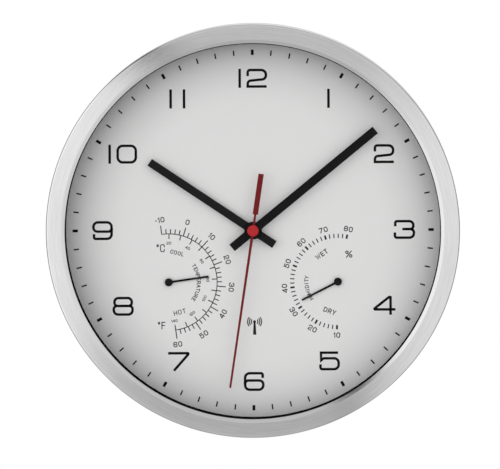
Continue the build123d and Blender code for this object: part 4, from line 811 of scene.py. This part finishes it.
def bare_metal(name, colour, rough=0.3, along=(1.0, 1.0, 1.0), scale=700.0, relief=3e-6):
    """Sheet or turned metal with fine marks that can be stretched along one direction."""
    material, tree = new_material(name)
    x, y, z, vector = places(tree)
    marks = cloud(tree, join_xyz(tree, x * along[0], y * along[1], z * along[2]), scale)
    dull = cloud(tree, vector, 60.0)
    darker = tuple(c * 0.72 for c in colour[:3]) + (1.0,)
    shade(tree, Base_Color=mix_colour(tree, marks * 0.5 + dull * 0.5, darker, colour), Metallic=1.0,
          Roughness=rough + dull * 0.15 - 0.05, Normal=bump(tree, marks, relief))
    return material


def satin_paint(name, colour, rough=0.38, gloss=0.12):
    """Thin satin paint on a stamped sheet, with a faint orange-peel relief."""
    material, tree = new_material(name)
    x, y, z, vector = places(tree)
    clouds, peel = cloud(tree, vector, 50.0), cloud(tree, vector, 2500.0, 1.0)
    paler = tuple(min(1.0, c * 1.2 + 0.001) for c in colour[:3]) + (1.0,)
    shade(tree, Base_Color=mix_colour(tree, clouds, colour, paler), Roughness=rough + clouds * 0.1,
          Specular_IOR_Level=gloss, Normal=bump(tree, peel, 4e-6))
    return material


# %% [markdown]
# The dial is a painted sheet. In the photograph it greys softly towards the rim, where the black spacer
# ring below the lens takes light away, so the paint is given some of that greying. The lens is clear: a
# glass shader would bend and dim the light, and a shader that is almost all alpha keeps the dial crisp.

# %% Dial, lens and the ring below the lens
FAR_BEARING = MAIN_BEARING + math.pi
RIM_SHADE_START, RIM_SHADE_END, RIM_SHADE_POWER = 78 * MM, 114 * MM, 1.4


def dial_paint():
    """Matt white paint: faint clouds, a fine tooth that keeps it from shining, and painted shade by the
    rim.

    The painted shade grows from none at its start to all of it at its end, as a power of the way between.
    It is deeper on the side of the main light, where the lip casts its shade, than on the far side.
    """
    material, tree = new_material("dial_white")
    x, y, z, vector = places(tree)
    clouds, tooth = cloud(tree, vector, 18.0), cloud(tree, vector, 3000.0, 1.0)
    radius = (x * x + z * z) ** 0.5
    way = Value.node(tree, "ShaderNodeMapRange", {"clamp": True},
                     {0: radius, 1: RIM_SHADE_START, 2: RIM_SHADE_END})
    white = mix_colour(tree, clouds, (0.880, 0.880, 0.875, 1), (0.900, 0.900, 0.895, 1))
    # The rim colour is painted shade from the recess and the lip, darker on the main light's side.
    away = (x * math.sin(FAR_BEARING) + z * math.cos(FAR_BEARING)) / (radius + 1e-5) * 0.5 + 0.5
    rim = mix_colour(tree, away, grey(0.58), grey(0.75))
    shade(tree, Base_Color=mix_colour(tree, way ** RIM_SHADE_POWER, white, rim),
          Roughness=0.65 + tooth * 0.1, Specular_IOR_Level=0.3, Normal=bump(tree, tooth, 3e-6))
    return material


def clear_lens():
    """Clear lens: all light passes straight on; where it is seen at a slant, gloss and a pale painted
    reflection grow.
    """
    material, tree = new_material("clear_lens")
    x, y, z, vector = places(tree)
    film = cloud(tree, vector, 30.0)
    slant = Value.node(tree, "ShaderNodeLayerWeight", None, {"Blend": 0.5}, output=1)
    # The pale grey base colour that shows only at a slant is a painted reflection; the gloss with it is
    # real.
    shade(tree, Base_Color=mix_colour(tree, film, grey(0.45), grey(0.55)), Roughness=0.03 + film * 0.03,
          Alpha=slant ** 2.4 * 0.3 + 0.001)
    return material


dress(dial_paint(), "dial_plate")
dress(clear_lens(), "front_lens")
dress(moulded_plastic("spacer_black", (0.004, 0.004, 0.004, 1), 0.8, gloss=0.0), "spacer_ring")

# %% [markdown]
# Under the ring's lip lies a thin rubber gasket. It reaches a little further in than the lip and is the
# fine black line all round the dial. Its solid has few facets, so the same flat ring is turned again with
# as many steps as the bezel, from the solid's own radii, and a small rounding at its edges.

# %% Gasket
GASKET_ROUNDING = 0.08
rim, bore, back_edge, front = ring_sizes("lens_gasket")
gasket_section = [(rim, back_edge), (rim, front), (bore, front, GASKET_ROUNDING),
                  (bore, back_edge, GASKET_ROUNDING)]
gasket_points, gasket_quads = turned_ring(rounded_path(gasket_section, closed=True))
gasket = make_piece("lens_gasket_edge", gasket_points, gasket_quads, "case", "black_rubber", smooth=True)
gasket.data.set_sharp_from_angle(angle=SHARP_TURN)
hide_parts("lens_gasket")
gasket_rubber = moulded_plastic("gasket_rubber", (0.006, 0.006, 0.006, 1), 0.8, 900.0, gloss=0.05)
gasket.data.materials.append(gasket_rubber)

# %% [markdown]
# The hands are stamped aluminium with a thin satin paint, and the collets that grip the pipes are brass.
# Their solids are right as they are, so they only need a paint with a faint peel and soft clouds.

# %% Hands and needles
dress(satin_paint("hour_hand_black", (0.0120, 0.0120, 0.0120, 1), gloss=0.06), "hour_hand")
dress(satin_paint("minute_hand_black", (0.0072, 0.0072, 0.0072, 1), gloss=0.06), "minute_hand")
dress(satin_paint("needle_black", (0.005, 0.005, 0.005, 1), 0.3), "thermometer_pointer",
      "hygrometer_pointer")
dress(satin_paint("second_red", (0.17, 0.010, 0.011, 1)), "second_hand")
dress(satin_paint("cap_red", (0.49, 0.024, 0.028, 1), 0.28), "second_hand_cap")
dress(bare_metal("collet_brass", (0.72, 0.52, 0.24, 1), 0.28), "hour_hand_collet", "minute_hand_collet",
      "second_hand_tube")

# %% [markdown]
# The rear case is one moulding in black plastic with a fine grain, as such a mould is spark eroded. The
# grooves round it, the arrow and the signs by the bay are cut into the solids. In a mould such marks are
# polished, so their floor is smoother than the grain around it, and a paler colour there is painted sheen.
# The floor is found by its depth below the back. The works' case is a dark grey of the same kind.

# %% Rear case and the case of the works
MARK_DEPTH = 0.4 * MM


def grained_plastic(name, colour, rough=0.5):
    """Grained plastic whose sunk marks, from half to one and a half times their depth, are smoother
    and have a painted sheen: a paler colour.
    """
    material, tree = new_material(name)
    x, y, z, vector = places(tree)
    clouds, grain = cloud(tree, vector, 30.0), cloud(tree, vector, 1100.0, 2.0)
    marks = (y < -0.5 * MARK_DEPTH) * (y > -1.5 * MARK_DEPTH)
    paler = tuple(c * 1.25 + 0.002 for c in colour[:3]) + (1.0,)
    # Painted sheen: a paler colour on the marks' floor, on top of their real lower roughness.
    painted_sheen = tuple(c * 2.2 + 0.02 for c in colour[:3]) + (1.0,)
    shade(tree, Base_Color=mix_colour(tree, marks, mix_colour(tree, clouds, colour, paler), painted_sheen),
          Roughness=rough + clouds * 0.14 - 0.07 - marks * 0.2, Normal=bump(tree, grain, 2.0e-5))
    return material


dress(grained_plastic("case_black", (0.022, 0.022, 0.023, 1)), "rear_case")
dress(grained_plastic("movement_grey", (0.05, 0.05, 0.053, 1)), "movement_back_cover",
      "movement_front_shell", "train_plate")

# %% [markdown]
# The hanger is punched from zinc-plated strip, and the rollers leave fine lines across it. The screws are
# plain steel, the contacts are nickel-plated spring strip, and the three buttons are pale moulded plastic.
# Bare metal needs little more than its colour, marks stretched one way, and patches that are duller.

# %% Metal and buttons on the back
dress(bare_metal("zinc_steel", (0.66, 0.68, 0.70, 1), 0.32, (1, 1, 6), 300.0), "hanger_plate")
dress(bare_metal("screw_steel", (0.60, 0.61, 0.62, 1), 0.30), "case_screws", "hanger_screws",
      "movement_cover_screws", "movement_mount_screws")
dress(moulded_plastic("button_grey", (0.30, 0.30, 0.31, 1), 0.4), "set_button", "receive_button",
      "reset_button")
dress(bare_metal("contact_nickel", (0.74, 0.72, 0.66, 1), 0.22), "battery_contact_positive",
      "battery_contact_negative")

# %% [markdown]
# Nobody sees the works unless the clock is taken apart, yet each piece still has the stuff that it is
# made of: pale wheels, steel stators, a green board, a black chip and a can for the crystal.

# %% Inside the movement
dress(moulded_plastic("wheel_plastic", (0.62, 0.60, 0.54, 1), 0.4), "hour_wheel", "motion_wheel",
      "minute_wheel", "minute_third_wheel", "second_wheel", "second_third_wheel", "minute_rotor",
      "second_rotor")
dress(bare_metal("magnet_black", (0.06, 0.06, 0.065, 1), 0.5), "minute_magnet", "second_magnet")
dress(bare_metal("stator_steel", (0.50, 0.51, 0.53, 1), 0.35, (6, 1, 1), 250.0), "minute_stator",
      "second_stator", "minute_coil_core", "second_coil_core")
dress(moulded_plastic("board_green", (0.02, 0.12, 0.06, 1), 0.35), "circuit_board")
dress(moulded_plastic("chip_black", (0.02, 0.02, 0.02, 1), 0.5), "controller_chip", "tact_switches")
dress(bare_metal("crystal_can", (0.72, 0.72, 0.72, 1), 0.2), "quartz_crystal")
dress(moulded_plastic("ferrite", (0.04, 0.038, 0.036, 1), 0.6, 600.0), "aerial_rod")

# %% [markdown]
# The coils are enamelled copper wire, wound side by side. Each turn could be a curve, but hundreds of
# turns of hair-thin wire are a texture, so a wave along the coil's axis stands for them.

# %% Copper windings
WIRE_PITCH = 0.22 * MM


def wound_copper(name):
    """Enamelled wire wound side by side: a sine wave along x, the axis of every coil here."""
    material, tree = new_material(name)
    x, y, z, vector = places(tree)
    turn = x.math("SINE", x * (2 * math.pi / WIRE_PITCH), 0.0)
    dull = cloud(tree, vector, 300.0)
    copper = mix_colour(tree, dull, (0.42, 0.16, 0.07, 1), (0.62, 0.28, 0.12, 1))
    shade(tree, Base_Color=copper, Metallic=1.0, Roughness=0.28 + dull * 0.15,
          Normal=bump(tree, turn * 0.5 + 0.5, 4e-5))
    return material


dress(wound_copper("copper_winding"), "minute_coil", "second_coil", "aerial_coil")

# %% [markdown]
# The battery is a plain AA cell: a pale printed sleeve with a dark band by the plus pole, a plus and a
# minus on the side that shows, and bare steel at both ends.

# %% Battery
BAND_START, SLEEVE_END = 0.0150, 0.0241
SIGN_HALF_LONG, SIGN_HALF_THICK, SIGN_ASIDE = 0.0018, 0.00045, 0.0195
BATTERY_UP = middle_of("battery")[1] * MM


def bar_mask(across, up, place, half_wide, half_tall):
    """1 in an upright bar around a place, in metres right and up."""
    return (abs(across - place[0]) < half_wide) * (abs(up - place[1]) < half_tall)


def battery_sleeve():
    """The sleeve's colours change along x, and its ends past the sleeve are metal."""
    material, tree = new_material("battery_sleeve")
    x, y, z, vector = places(tree)
    film = cloud(tree, vector, 80.0)
    band, bare = x > BAND_START, abs(x) > SLEEVE_END
    lying = bar_mask(x, z, (SIGN_ASIDE, BATTERY_UP), SIGN_HALF_LONG, SIGN_HALF_THICK)
    standing = bar_mask(x, z, (SIGN_ASIDE, BATTERY_UP), SIGN_HALF_THICK, SIGN_HALF_LONG)
    plus = lying.math("MAXIMUM", lying, standing)
    minus = bar_mask(x, z, (-SIGN_ASIDE, BATTERY_UP), SIGN_HALF_LONG, SIGN_HALF_THICK)
    sleeve = mix_colour(tree, band, (0.36, 0.38, 0.40, 1), (0.035, 0.05, 0.075, 1))
    signed = mix_colour(tree, plus, mix_colour(tree, minus, sleeve, grey(0.03)), grey(0.75))
    shade(tree, Base_Color=mix_colour(tree, bare, signed, (0.70, 0.70, 0.71, 1)), Metallic=bare * 0.8,
          Roughness=0.26 + film * 0.14)
    return material


dress(battery_sleeve(), "battery")

# %% [markdown]
# Behind the dial each gauge has a small cup with a spiral: two bonded metals for heat, a treated strip
# for damp. They show through the vents in the back.

# %% Gauge works
dress(moulded_plastic("cup_plastic", (0.55, 0.55, 0.54, 1), 0.45), "thermometer_cup", "hygrometer_cup")
dress(bare_metal("bimetal", (0.62, 0.50, 0.32, 1), 0.3), "thermometer_spiral", "hygrometer_spiral")
dress(bare_metal("arbor_steel", (0.62, 0.63, 0.64, 1), 0.25), "thermometer_arbor", "hygrometer_arbor",
      "thermometer_bridge", "hygrometer_bridge")
